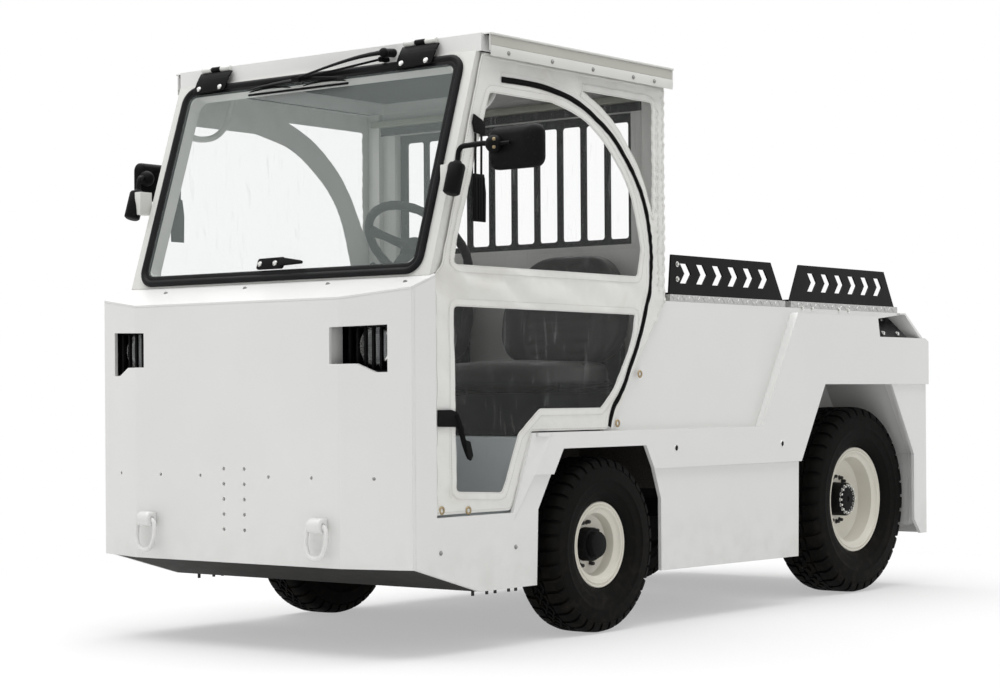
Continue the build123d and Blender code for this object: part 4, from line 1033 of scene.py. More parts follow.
SEAL_SECTION = ((0, 0.4), (-0.5, 6), (2, 10), (8, 12.5), (14, 11.5), (18, 8), (20, 6), (23, 6.6), (29, 6.4),
                (33, 5), (34, 2.5), (34, 0.4))


class TUG_OT_windscreen(bpy.types.Operator):
    """Build the windscreen's rubber seal, hinges and latch"""
    bl_idname = "tug.windscreen"
    bl_label = "Windscreen seal, hinges and latch"

    def execute(self, context):
        seal = Form()
        loops = []
        for (x, y), (nx, ny) in round_box_loop(SCREEN_HALF, 0, SCREEN_UP, 55, 7):
            loops.append([screen(x - nx * a, y - ny * a, b) for a, b in SEAL_SECTION])
        seal.skin(loops, ring=True)
        put(seal, "windscreen_seal_rubber", "seal_rubber", replaces=("windscreen_seal",), smooth=55)
        plates, barrels, knuckles, screws = Form(), Form(), Form(), []
        for left, right in ((-521, -375), (319, 467)):
            outline = ((left, SCREEN_UP - 30), (left + 8, SCREEN_UP + 20), (right, SCREEN_UP + 20),
                       (right - 8, SCREEN_UP - 26))
            outline = rounded([Vector(p) for p in outline], 9, 4, True)
            plates.slab(outline, screen, 13, 18)
            low, high = left + 8, right
            plates.skin([[screen(x, SCREEN_UP + 19, out) for x, out in
                          ((low, 13), (high, 13), (high, 18), (low, 18))],
                         [at(x, d, z) for x, d, z in
                          ((low, 383, 1752), (high, 383, 1752), (high, 378, 1754), (low, 378, 1754))]])
            middle = (left + right) / 2
            height = at(0, 384, 1763)
            for low, high, form in ((-62, -20, barrels), (-19, 19, knuckles), (20, 62, barrels)):
                form.tube([Vector((middle + end, 0, 0)) * MM + height for end in (low, high)], 8.5, 16)
            screws += [(screen(x, SCREEN_UP - 14, 18), screen(0, 0, 1) - screen(0, 0, 0))
                       for x in (left + 24, right - 30)]
        put(plates, "hinge_plates", "black_plastic", replaces=("windscreen_fittings",), bevel=1.2)
        put(barrels, "hinge_barrels", "cab_white", bevel=1.0)
        put(knuckles, "hinge_knuckles", "black_plastic", bevel=1.0)
        latch = Form()
        plate = rounded([Vector(p) for p in ((-66, 34), (-66, 68), (42, 70), (42, 34))], 9, 4, True)
        latch.slab(plate, screen, 8, 14)
        lever = rounded([Vector(p) for p in ((30, 40), (30, 66), (60, 62), (122, 52), (122, 44))], 5, 3, True)
        latch.slab(lever, screen, 14.3, 22)
        put(latch, "windscreen_latch", "black_plastic", bevel=1.5)
        screws += [(screen(x, 51, 14), screen(0, 0, 1) - screen(0, 0, 0)) for x in (-54, 8)]
        bolts("windscreen_screws", screws, sides=16, head=7.0, top=4.5, high=4.0, washer=8.5)
        return {"FINISHED"}


class TUG_OT_wiper(bpy.types.Operator):
    """Build the wiper with its twin arms and leaf blade"""
    bl_idname = "tug.wiper"
    bl_label = "Wiper"

    def execute(self, context):
        form = Form()
        form.tube([at(285, 388, 1742), at(285, 344, 1738)], 13, 20)
        form.ball(at(285, 344, 1738), 15, rings=8)
        form.tube([at(262, 388, 1724), at(262, 352, 1722)], 8, 14)
        arm = smooth_line([at(285, 340, 1739), at(200, 332, 1733), at(90, 330, 1718), at(-58, 332, 1693)], 5)
        form.tube(arm, [10 - 5.5 * k / (len(arm) - 1) for k in range(len(arm))], 10, flat=0.6)
        rod = smooth_line([at(262, 350, 1721), at(90, 338, 1703), at(-62, 336, 1690)], 5)
        form.tube(rod, 3.6, 8)
        form.box((-76, -44), (330, 350), (1682, 1700))
        blade_middle, half = -60.0, 205.0
        spine = [screen(blade_middle + half * t, SCREEN_UP - 44 + 13 * (1 - t * t), 26) for t in
                 [k / 8 - 1 for k in range(17)]]
        form.tube(spine, [2.5 + 7 * (1 - abs(k / 8 - 1)) ** 0.7 for k in range(17)], 8, flat=0.55)
        for sign in (-1, 1):
            yoke = [screen(blade_middle + sign * half * t,
                           SCREEN_UP - 50 + 8 * (1 - ((t - 0.55) / 0.42) ** 2), 22)
                    for t in (0.13, 0.3, 0.5, 0.7, 0.9, 0.97)]
            form.tube(yoke, (2.0, 4.0, 5.0, 4.5, 3.5, 2.0), 8, flat=0.6)
        edge = [screen(blade_middle + half * t, SCREEN_UP - 57, 17) for t in (-1, -0.5, 0, 0.5, 1)]
        form.tube(edge, 4.5, 6, flat=0.8)
        put(form, "wiper_arms_blade", "black_plastic", replaces=("wiper",))
        return {"FINISHED"}


class TUG_OT_steering(bpy.types.Operator):
    """Build the steering wheel and its column"""
    bl_idname = "tug.steering"
    bl_label = "Steering wheel and column"

    def execute(self, context):
        wheel = Form()
        path = [steer(166 * cos(2 * pi * k / 56), 166 * sin(2 * pi * k / 56), 0) for k in range(56)]
        wheel.tube(path, [13.4 + 0.7 * cos(pi * k) for k in range(56)], 14, ring=True)
        axis = steer(0, 0, 1) - steer(0, 0, 0)
        hub = ((-44, 0), (-44, 38), (-30, 42), (0, 40), (8, 34), (12, 20), (13, 0))
        wheel.lathe(hub, steer(0, 0, 0), axis, 32, shut=False)
        for angle in (90, 210, 330):
            a = radians(angle)
            across, out = Vector((-sin(a), cos(a))), Vector((cos(a), sin(a)))
            loops = []
            for r, half, low, high in ((30, 20, -16, 2), (60, 15, -14, 0), (110, 14, -9, 3), (158, 21, -7, 6)):
                loops.append([steer(*(out * r + across * w), t) for w, t in
                              ((-half, low), (half, low), (half, high - 3), (half - 5, high), (5 - half, high),
                               (-half, high - 3))])
            wheel.skin(loops)
        put(wheel, "steering_wheel_rim", "black_plastic", "steering_wheel", replaces=("steering_wheel",),
            smooth=50)
        column = Form()
        section = ((-250, 0), (-250, 40), (-120, 39), (-100, 36), (-66, 36), (-60, 30), (-60, 10), (-46, 9),
                   (-46, 0))
        column.lathe(section, steer(0, 0, 0), axis, 32, shut=False)
        for sign, long in ((-1, 150), (1, 120)):
            stalk = smooth_line([steer(sign * 30, 0, -78), steer(sign * 90, 6, -70),
                                 steer(sign * long, 10, -58)], 4)
            column.tube(stalk, 5, 10)
            column.ball(stalk[-1], 9, rings=6)
        put(column, "steering_column_cover", "black_plastic", replaces=("steering_column",))
        return {"FINISHED"}


SEAT_X = 318.0
SEAT_HALF = 235.0
STUFF_VOXEL = 0.006
STUFF_PRESSURE = 4.0
STUFF_FRAMES = 20
STUFF_LIMIT = 0.018
SEAM_WIDTH = 0.009


def stuff(piece, seams):
    """Fills a cushion by a cloth run that is held along its seams; seams tells a vertex's distance from one."""
    scene = bpy.context.scene
    modify(piece, "REMESH", mode="VOXEL", voxel_size=STUFF_VOXEL)
    start = [v.co.copy() for v in piece.data.vertices]
    held = piece.vertex_groups.new(name="seams")
    for vert in piece.data.vertices:
        held.add([vert.index], 1.0 - ease(0.0, SEAM_WIDTH, seams(vert.co)), "REPLACE")
    cloth_run = piece.modifiers.new("stuffing", "CLOTH")
    rules = cloth_run.settings
    rules.quality = 5
    rules.mass = 0.25
    rules.tension_stiffness = rules.compression_stiffness = 18.0
    rules.bending_stiffness = 4.0
    rules.use_pressure = True
    rules.uniform_pressure_force = STUFF_PRESSURE
    rules.vertex_group_mass = "seams"
    rules.effector_weights.gravity = 0.0
    cloth_run.collision_settings.use_collision = False
    cloth_run.point_cache.frame_start, cloth_run.point_cache.frame_end = 1, STUFF_FRAMES
    for number in range(1, STUFF_FRAMES + 1):
        scene.frame_set(number)
    graph = bpy.context.evaluated_depsgraph_get()
    mesh = bpy.data.meshes.new_from_object(piece.evaluated_get(graph), depsgraph=graph)
    for vert, place in zip(mesh.vertices, start):
        move = vert.co - place
        if move.length > STUFF_LIMIT:
            vert.co = place + move.normalized() * STUFF_LIMIT
    piece.modifiers.clear()
    piece.vertex_groups.clear()
    piece.data = mesh
    scene.frame_set(1)
    return modify(piece, "SUBSURF", levels=1, render_levels=1)


def cushion_shape(p):
    """A seat cushion's bolsters, ribs and rounded front."""
    bolster = ease(150, 215, abs(p.x))
    rib = 0.0 if abs(p.x) > 150 else 4.0 * abs(sin(pi * p.y / 44.0)) ** 0.6
    lift = (8 * bolster + rib) if p.z > 0 else 0.0
    front = -14 * ease(120, 200, -p.y) if p.z < 0 else -6 * ease(140, 200, -p.y)
    return Vector((p.x, p.y, p.z + lift - front * 0.3))


def backrest_shape(p):
    """A seat back's bolsters, ribs, narrower head and lean."""
    t = (p.z + 180) / 360.0
    bolster = ease(120, 200, abs(p.x)) * (1 - ease(0.55, 1.0, t))
    rib = 0.0 if abs(p.x) > 118 or t > 0.92 else 4.5 * abs(sin(pi * p.z / 36.0)) ** 0.6
    narrow = 1 - 0.26 * ease(0.45, 1.05, t) - 0.06 * (1 - ease(0.0, 0.3, t))
    ahead = -(20 * bolster + rib) if p.y < 0 else 0.0
    return Vector((p.x * narrow, p.y + ahead + 64 * t, p.z))


class TUG_OT_seats(bpy.types.Operator):
    """Build the two padded seats on their boxes"""
    bl_idname = "tug.seats"
    bl_label = "Seats"

    def execute(self, context):
        frame_form = Form()
        for side, word in ((1, "left"), (-1, "right")):
            x = side * SEAT_X
            cushion = Form().pillow(at(x, 968, 790), (SEAT_HALF, 190, 42), 4.5, 44, 72, cushion_shape)
            pad = put(cushion, "seat_cushion_" + word, "seat_vinyl",
                      replaces=("seats",) if side == 1 else (), smooth=70)
            stuff(pad, lambda p, x=x: min(abs(abs(p.x - x * MM) - 0.15), abs(p.z - 0.775)))
            pad.data.shade_smooth()
            back = Form().pillow(at(x, 1168, 1002), (SEAT_HALF, 42, 178), 4.0, 48, 72, backrest_shape)
            rest = put(back, "seat_back_" + word, "seat_vinyl", smooth=70)
            stuff(rest, lambda p, x=x: min(abs(abs(p.x - x * MM) - 0.118), abs(p.x - x * MM) < 0.12 and 1.0
                                           or abs(p.y - at(0, 1190, 0).y)))
            rest.data.shade_smooth()
            frame_form.box((x - 190, x + 190), (830, 1170), (605, 737))
            frame_form.box((x - 180, x + 180), (1238, 1266), (742, 1100))
            frame_form.box((x - 185, x + 185), (900, 1262), (737, 750))
            for edge in (-1, 1):
                frame_form.tube([at(x + edge * 216, 850, 760), at(x + edge * 216, 1120, 770)], 12, 10)
        put(frame_form, "seat_boxes", "black_plastic", bevel=4.0)
        return {"FINISHED"}


# Soft doors: the outline of the sheet and its clear panes as (d, z)
CURTAIN = (
    (178, 397), (513, 397), (615, 624), (1000, 624), (1326, 1025), (1326, 1712), (395, 1712), (210, 1105),
    (178, 1060),
)
PANES = (
    # corners of the straight edges, points of the curve that closes the pane, radius of the corners
    (((1190, 1186), (1171, 1101), (262, 1101), (276, 1172), (429, 1602), (724, 1602)),
     ((895, 1562), (1037, 1470), (1133, 1356)), 16),
    (((1254, 1306), (1254, 1653), (881, 1653)), ((992, 1606), (1093, 1535), (1186, 1432)), 3),
    (((970, 691), (657, 691), (557, 621), (475, 450), (267, 460), (261, 983), (1155, 980)),
     ((1133, 897), (1088, 821), (1034, 747)), 16),
)
ZIP_LINE = ((483, 1644), (652, 1645), (770, 1632), (864, 1611), (953, 1574), (1037, 1527), (1108, 1466),
            (1166, 1400), (1212, 1325), (1237, 1245), (1247, 1165), (1240, 1085), (1222, 1015), (1194, 945),
            (1165, 880), (1129, 821), (1085, 750), (1036, 690), (1012, 632))


def pane_line(index, gap=10.0):
    """The edge of a pane as evenly spaced (d, z) points, its outside on the right."""
    corners, bend, radius = PANES[index]
    straight = rounded([Vector(p) for p in corners], radius, 5)
    line = straight + smooth_line([corners[-1], *bend, corners[0]], 6)[1:-1]
    area = sum(p.x * q.y - q.x * p.y for p, q in zip(line, line[1:] + line[:1]))
    return spaced(line if area > 0 else line[::-1], gap, True)


def inside(point, outline):
    """True if a (d, z) point lies within an outline."""
    hit = False
    for a, b in zip(outline, outline[1:] + outline[:1]):
        if (a[1] > point[1]) != (b[1] > point[1]):
            if point[0] < (b[0] - a[0]) * (point[1] - a[1]) / (b[1] - a[1]) + a[0]:
                hit = not hit
    return hit


def relief(d, z):
    """How far the hung sheet stands out of its plane, in millimetres."""
    spot = Vector((d / 90.0, z / 90.0, 3.1))
    broad = 2.2 * noise.noise(spot * 0.6) + 1.3 * noise.noise(spot * 1.7)
    band = ease(985, 1005, z) * (1 - ease(1085, 1103, z))
    swirl = 1.4 * noise.noise(Vector((d / 160.0, z / 110.0, 7.7)))
    folds = 3.4 * band * sin((d * 0.55 + z * 1.5) / 30.0 + 2.2 * swirl) * (1 - 0.7 * ease(500, 1000, d))
    pucker = 2.4 * ease(1215, 1300, d) * sin(2 * pi * z / 33.0 + 1.5 * noise.noise(Vector((0.3, z / 60.0, 0))))
    head = 2.2 * ease(1640, 1675, z) * sin(d / 21.0 + 2.5 * noise.noise(Vector((d / 130.0, 5.0, 0))))
    ahead = 1.8 * (1 - ease(205, 262, d)) * sin(z / 19.0 + 3.0 * noise.noise(Vector((2.0, z / 120.0, 0))))
    crinkle = 1.6 * noise.noise(Vector((d / 27.0, z / 34.0, 1.9)))
    crinkle += 0.9 * noise.noise(Vector((d / 13.0, z / 15.0, 8.2)))
    return 5.0 + broad + 1.9 * folds + 1.3 * pucker + head + ahead + crinkle


def cloth(side, d, z, lift=0.0):
    """A place on or above the hung sheet."""
    return at(side * (CURTAIN_X + relief(d, z) + lift), d, z)


def ribbon(form, line, side, low, high, lift, thick, shut=False, crown=0.0):
    """A flat band along a (d, z) line on the sheet, from low to high beside the line."""
    count = len(line)
    loops = []
    for i, p in enumerate(line):
        before = line[i - 1] if shut or i else p
        after = line[(i + 1) % count] if shut or i < count - 1 else p
        t = (after - before).normalized()
        n = Vector((t.y, -t.x))
        edge = []
        for across, height in ((low, lift), (low, lift + thick * 0.7), (low + (high - low) * 0.1, lift + thick),
                               ((low + high) / 2, lift + thick + crown),
                               (high - (high - low) * 0.1, lift + thick),
                               (high, lift + thick * 0.7), (high, lift)):
            q = p + n * across
            edge.append(cloth(side, q.x, q.y, height))
        loops.append(edge)
    form.skin(loops, ring=shut)
    return form


SHEET_STEP = 13.0
PANE_STEP = 20.0


def fill_outline(form, side, edge, holes, step, start, size, apart, place):
    """Triangles inside an edge and outside its holes, facing outwards, over a staggered grid of points."""
    points, edges = [], []
    for ring in (edge, *holes):
        first = len(points)
        points += ring
        edges += [(first + i, first + (i + 1) % len(ring)) for i in range(len(ring))]
    border = [Vector(p) for p in points]

    def covered(spot):
        return inside(spot, edge) and not any(inside(spot, hole) for hole in holes)

    for i in range(int(size[0] / step)):
        for j in range(int(size[1] / step)):
            spot = (start[0] + i * step + (j % 2) * step / 2, start[1] + j * step)
            if covered(spot) and min((Vector(spot) - b).length_squared for b in border) > apart:
                points.append(spot)
    verts, _, faces, _, _, _ = delaunay_2d_cdt([Vector(p) for p in points], edges, [], 1, 1e-4)
    rows = [form.bm.verts.new(place(v.x, v.y)) for v in verts]
    for face in faces:
        if covered(sum((verts[i] for i in face), Vector((0, 0))) / len(face)):
            made = form.bm.faces.new([rows[i] for i in face])
            made.normal_update()
            if made.normal.x * side < 0:
                made.normal_flip()


def sheet_form(side):
    """The fabric of one soft door, cut out round its panes."""
    edge = [tuple(p) for p in spaced([Vector(p) for p in CURTAIN], SHEET_STEP, True)]
    holes = [[tuple(p) for p in pane_line(i, 11)] for i in range(3)]
    form = Form()
    fill_outline(form, side, edge, holes, SHEET_STEP, (182, 401), (1160, 1330), 64,
                 lambda d, z: cloth(side, d, z))
    for vert in [v for v in form.bm.verts if not v.link_faces]:
        form.bm.verts.remove(vert)
    return form


class TUG_OT_curtains(bpy.types.Operator):
    """Build the soft doors with their hems, zips and clear panes"""
    bl_idname = "tug.curtains"
    bl_label = "Soft doors"

    def execute(self, context):
        scene = context.scene
        sizes = scene.tug_sizes
        for side, word in ((1, "left"), (-1, "right")):
            form = sheet_form(side)
            area = sum(f.calc_area() for f in form.bm.faces)
            sheet = modify(loose("door_sheet_" + word, form), "SOLIDIFY", thickness=1.4 * MM, offset=-1.0)
            dress(sheet, "door_cloth", replaces=("curtain_" + word,), smooth=70)
            trim, tape, threads = Form(), Form(), []
            hem = sizes.hem / MM
            for i in range(3):
                line = pane_line(i, 9)
                ribbon(trim, line, side, 0.0, hem, 0.1, 1.3, True, 0.5)
                for inset in (3.0, hem - 3.0):
                    count = len(line)
                    row = []
                    for k, p in enumerate(line):
                        t = (line[(k + 1) % count] - line[k - 1]).normalized()
                        q = p + Vector((t.y, -t.x)) * inset
                        row.append(cloth(side, q.x, q.y, 1.8))
                    threads.append(row + row[:1])
            zip_path = smooth_line([Vector(p) for p in ZIP_LINE], 5)
            half = sizes.zip_width / MM / 2
            ribbon(tape, zip_path, side, -half, half, 1.6, 1.2, False, 1.8)
            for gap in (-half - 7, half + 7):
                ribbon(trim, zip_path, side, gap - 6, gap + 6, 0.1, 1.1)
            edges = (
                [(182, 405), (182, 1058), (214, 1103), (397, 1706)],
                [(182, 404), (511, 404), (612, 630), (1000, 630), (1320, 1024)],
                [(1318, 1030), (1318, 1706)], [(398, 1704), (1322, 1704)], [(243, 446), (243, 643)],
                [(1290, 1060), (1290, 1640)],
            )
            for corners in edges:
                line = spaced(rounded([Vector(p) for p in corners], 12), 12)
                ribbon(trim, line, side, -5, 5, 0.1, 1.4)
                threads.append([cloth(side, p.x, p.y, 1.9) for p in line])
            put(trim, "door_hems_" + word, "door_cloth", smooth=60)
            put(tape, "door_zip_" + word, "zip_tape", smooth=60)
            teeth = [[cloth(side, p.x, p.y, 5.0) for p in zip_path]]
            dashes("door_zip_teeth_" + word, teeth, "black_plastic", 4.0, (1.6, 5.0, 2.2))
            dashes("door_stitches_" + word, threads, "stitch_thread", sizes.stitch / MM, (0.8, 0.8, 4.6))
            cover = Form()
            for i in range(3):
                self.pane(cover, side, i)
            dress(loose("door_panes_" + word, cover), "door_vinyl",
                  replaces=("curtain_panes",) if side == 1 else (), smooth=80)
        return {"FINISHED"}

    def pane(self, form, side, index):
        """One clear pane, slightly rippled."""
        edge = pane_line(index, 14)
        middle = sum(edge, Vector((0, 0))) / len(edge)
        grown = [tuple(p + (p - middle).normalized() * 4) for p in edge]

        def place(d, z):
            wave = 1.4 * noise.noise(Vector((d / 150.0, z / 260.0, 11.0 + index)))
            return at(side * (CURTAIN_X + 3.6 + wave), d, z)

        fill_outline(form, side, grown, (), PANE_STEP, (250, 440), (1100, 1300), 120, place)


class TUG_OT_straps(bpy.types.Operator):
    """Build the roll-up straps, the closing strap and the eyelets of the soft doors"""
    bl_idname = "tug.straps"
    bl_label = "Door straps"

    def execute(self, context):
        form = Form()
        eyes = Form()
        for side in (1, -1):
            def on(d, z, lift=3.0, side=side):
                return at(side * (CURTAIN_X + 6 + lift), d, z)

            def plate(points, low, high, on=on):
                form.slab(points, on, low, high)

            plate(((350, 1532), (388, 1518), (402, 1500), (398, 1474), (352, 1480), (344, 1506)), 2, 6)
            for d in (357, 384):
                plate(((d - 4, 1478), (d + 4, 1478), (d + 2, 1350), (d - 6, 1350)), 3, 6)
            plate(((346, 1362), (392, 1362), (400, 1310), (398, 1226), (346, 1226), (343, 1310)), 2, 8)
            for d in (354, 366, 378, 390):
                plate(((d - 3, 1352), (d + 3, 1352), (d + 3, 1230), (d - 3, 1230)), 8, 10)
            plate(((180, 691), (240, 691), (266, 684), (280, 660), (278, 642), (180, 644)), 4, 7)
            lace = smooth_line([on(258, 676, 8), on(276, 640, 9), on(290, 600, 9), on(312, 560, 8)], 5)
            form.tube(lace, 8, 8, flat=0.4)
            plate(((290, 606), (314, 600), (326, 560), (316, 546), (302, 552)), 9, 15)
            for d, z in ((199, 410), (1058, 642), (320, 405), (1180, 795)):
                eyes.lathe(((0, 6), (2.4, 6.5), (3.2, 9), (2.2, 12), (0, 12.5)), cloth(side, d, z, 0.4),
                           LEFT * side, 20)
        put(form, "door_straps", "strap_web", bevel=0.8)
        put(eyes, "door_eyelets", "brass", smooth=60)
        return {"FINISHED"}


class TUG_OT_cab_inside(bpy.types.Operator):
    """Build the grab handles, floor mat and dials, and the roof's beam, flange and retainer strip, with a grey
    band under the flange as painted shadow
    """
    bl_idname = "tug.cab_inside"
    bl_label = "Inside the cab"

    def execute(self, context):
        handles = Form()
        for side in (-1, 1):
            x = side * 548
            line = smooth_line([at(x, 556, 1706), at(x, 545, 1665), at(x, 520, 1605), at(x, 470, 1565),
                                at(x, 405, 1552), at(x, 352, 1560)], 5)
            handles.tube(line, 10, 12)
            handles.box((x - 16, x + 16), (540, 572), (1700, 1712))
        put(handles, "grab_handles", "cab_white", smooth=60)
        mat = Form()
        mat.box((-560, 560), (190, 500), (390.4, 394))
        for number in range(27):
            x = -540 + 41 * number
            mat.box((x, x + 14), (200, 490), (394, 397))
        put(mat, "floor_mat", "floor_grey", bevel=0.8)
        beam = Form()
        beam.box((-586, 586), (1268, 1299.6), (1668, 1690))
        put(beam, "roof_beam", "beam_olive", bevel=2.0)
        flange, shadow_band = Form(), Form()
        for side in (1, -1):
            flange.box(sorted((side * 639, side * 645)), (396, 1334), (1762, 1768))
            flange.box(sorted((side * 639.5, side * 643)), (400, 1330), (1701, 1732))
            # A thin grey band under the flange: painted shadow of the flange's overhang.
            shadow_band.box(sorted((side * 639.5, side * 641)), (400, 1330), (1733, 1761))
        put(flange, "roof_flange", "cab_white", bevel=1.0)
        put(shadow_band, "roof_gutter", "gutter_shade")
        strip = Form()
        strip.box((-586, 586), (1290, 1299.6), (1640, 1667.6))
        put(strip, "window_head_seal", "seal_rubber", bevel=2.0)
        panel = Form().slab(((190, 1046), (300, 1046), (318, 1072), (208, 1082)), beside(1), 150, 460)
        put(panel, "dial_binnacle", "black_plastic", bevel=5.0)
        dials = Form()
        for x in (230, 300, 370):
            dials.lathe(((0, 0), (0, 24), (3, 27), (6, 27), (6, 23), (3, 22), (3, 0)), at(x, 318, 1056),
                        at(0, 1, 0.5) - at(0, 0, 0), 24, shut=False)
        put(dials, "dials", "grey_plastic")
        return {"FINISHED"}


HEAD_DEPTHS = ((0, 0.55), (7, 0.80), (16, 0.93), (30, 1.0), (40, 1.0), (44, 0.985))
GLASS_DEPTHS = {1: (44.5, 46), -1: (136 / 3, 142 / 3)}


def head_place(side, across, up, deep):
    """A place in a mirror's head: the left one is set out for driving, the right one folded back."""
    if side == 1:
        return at(829 + across, 242 + deep, 1416 + up)
    return at(-690 - 0.6 * deep, 360 + 0.9 * across, 1420 + up)


class TUG_OT_mirrors(bpy.types.Operator):
    """Build the two mirrors on their clamp sleeves"""
    bl_idname = "tug.mirrors"
    bl_label = "Mirrors"

    def execute(self, context):
        form, face, clamp = Form(), Form(), Form()
        for side in (1, -1):
            x = side * 650.0
            section = ((0, 0), (0, 20), (4, 24.5), (82, 25), (88, 22), (92, 14), (98, 10), (98, 0))
            form.lathe(section, at(x, 206, 1293), Vector((0, sin(LEAN), cos(LEAN))), 28, shut=False)
            clamp.box(sorted((x - side * 40, x - side * 14)), (206, 256), (1304, 1376))
            if side == 1:
                arm = [at(x, 234, 1384), at(x, 242, 1427), at(x + 90, 236, 1429), at(x + 130, 232, 1425)]
                ball = at(781, 234, 1424)
            else:
                arm = [at(x, 234, 1384), at(x, 240, 1424), at(x - 18, 266, 1428), at(x - 28, 290, 1428)]
                ball = at(-682, 300, 1428)
            form.tube(rounded(arm, 0.030, 6), 7.5, 12)
            form.ball(ball, 25, rings=10)
            if side == 1:
                form.tube([ball, at(838, 232, 1424)], 5.5, 8)

            def head(across, up, deep, side=side):
                return head_place(side, across, up, deep)

            form.skin([[head(a * grow, b * grow, deep) for (a, b), _ in round_box_loop(92, -60, 60, 28, 6)]
                       for deep, grow in HEAD_DEPTHS])
            near, far = GLASS_DEPTHS[side]
            face.slab([p for p, _ in round_box_loop(85, -53, 53, 23, 5)], head, near, far)
        screws = [(at(796, 214.5, z), Vector((0.62, -0.785, 0))) for z in (1435, 1413)]
        put(form, "mirror_arms_heads", "black_plastic", replaces=("mirrors",), smooth=50)
        put(face, "mirror_glasses", "mirror_face")
        put(clamp, "mirror_brackets", "cab_white", bevel=2.0)
        bolts("mirror_screws", screws, "brass", sides=16, head=4.5, top=3.0, high=3.0, washer=5.0)
        return {"FINISHED"}


class TUG_OT_deck(bpy.types.Operator):
    """Build the raised pattern of the deck plates"""
    bl_idname = "tug.deck"
    bl_label = "Deck pattern"

    def execute(self, context):
        scene = context.scene
        pitch = scene.tug_sizes.lozenge / MM
        for name, body, first, last in (("lid_pattern", "lid", 1376, 2084),
                                        ("deck_pattern", "chassis", 2130, 2897)):
            rows, leans = [], []
            for i in range(int((last - first - 20) / pitch) + 1):
                for j in range(-int(575 / pitch), int(575 / pitch) + 1):
                    way = 1 if (i + j) % 2 else -1
                    rows.append((at(j * pitch, first + 16 + i * pitch, DECK + 0.1), UP))
                    leans.append((1.0, float(way), 0.0))
                for side in (-1, 1):
                    rows.append((at(side * WALL_HALF, first + 16 + i * pitch, DECK - 11), LEFT * side))
                    leans.append((0.0, 1.0, 1.0 if i % 2 else -1.0))
            values = {"Long": 0.028, "Wide": 0.0075, "High": 0.0052}
            run_tree(tree("lozenges"), facing_points(rows, leans), name, "deck_plate", values, body,
                     smooth=60)
        return {"FINISHED"}


class TUG_OT_rear(bpy.types.Operator):
    """Build the tail lamps"""
    bl_idname = "tug.rear"
    bl_label = "Tail lamps"

    def execute(self, context):
        rims, lenses = Form(), Form()
        back = Vector((0, 1, 0))
        for side in (-1, 1):
            centre = at(side * 500, 3087.3, 850)
            rims.lathe(((0, 46), (0, 54), (10, 55), (16, 52), (16, 46)), centre, back, 36)
            lenses.lathe(((0.5, 0), (0.5, 45.5), (16, 45.5), (22, 36), (25.5, 18), (26, 0)), centre, back, 36,
                         shut=False)
        put(rims, "tail_lamp_rims", "black_plastic", replaces=("tail_lamps",), smooth=50)
        put(lenses, "tail_lamp_lenses", "red_lens", smooth=60)
        return {"FINISHED"}


# Wheels: (name, side, centre, tyre radius, tyre width, flange radius, rim width)
WHEELS = (
    ("front_left", 1, FRONT_WHEEL, 270, 158, 133, 112), ("front_right", -1, FRONT_WHEEL, 270, 158, 133, 112),
    ("rear_left", 1, REAR_WHEEL, 340, 190, 192, 136), ("rear_right", -1, REAR_WHEEL, 340, 190, 192, 136),
)


def tread_pitch(radius, width, flange, count, deep):
    """One pitch of the tread: two shoulder lugs that wrap the shoulder and three crown blocks."""
    form = Form()
    half, high = width / 2, radius - flange
    pitch = 2 * pi / count

    def spot(x, r, turn):
        return Vector((x, r * cos(turn), r * sin(turn))) * MM

    lug = ((half - 54, radius), (half - 32, radius - 1), (half - 17, radius - 5), (half - 8, radius - 13),
           (half - 2.5, radius - 0.21 * high))
    base = ((half - 54, radius - deep), (half - 33, radius - deep - 1), (half - 21, radius - deep - 4),
            (half - 14, radius - deep - 10), (half - 6, radius - 0.23 * high - 2))
    for side, shift in ((1, 0.0), (-1, 0.5)):
        loops = []
        for turn in (0.13, 0.5, 0.87):
            slant = [0.10 * (1 - k / 4) for k in range(5)]
            outer = [spot(side * x, r, pitch * (turn + shift + s)) for (x, r), s in zip(lug, slant)]
            inner = [spot(side * x, r, pitch * (turn + shift + s)) for (x, r), s in zip(base, slant)]
            loops.append(outer + list(reversed(inner)))
        form.skin(loops)
    room = (half - 58) * 2
    for index, shift in ((-1, 0.25), (0, 0.75), (1, 0.25)):
        middle = index * room / 3
        wide = room / 6 - 2.5
        loops = []
        for turn, skew in ((0.06, -4), (0.5, 4), (0.94, -4)):
            a = pitch * (turn + shift)
            loops.append([spot(middle - wide + skew, radius - deep, a),
                          spot(middle + wide + skew, radius - deep, a),
                          spot(middle + wide - 1 + skew, radius, a), spot(middle - wide + 1 + skew, radius, a)])
        form.skin(loops)
    return form


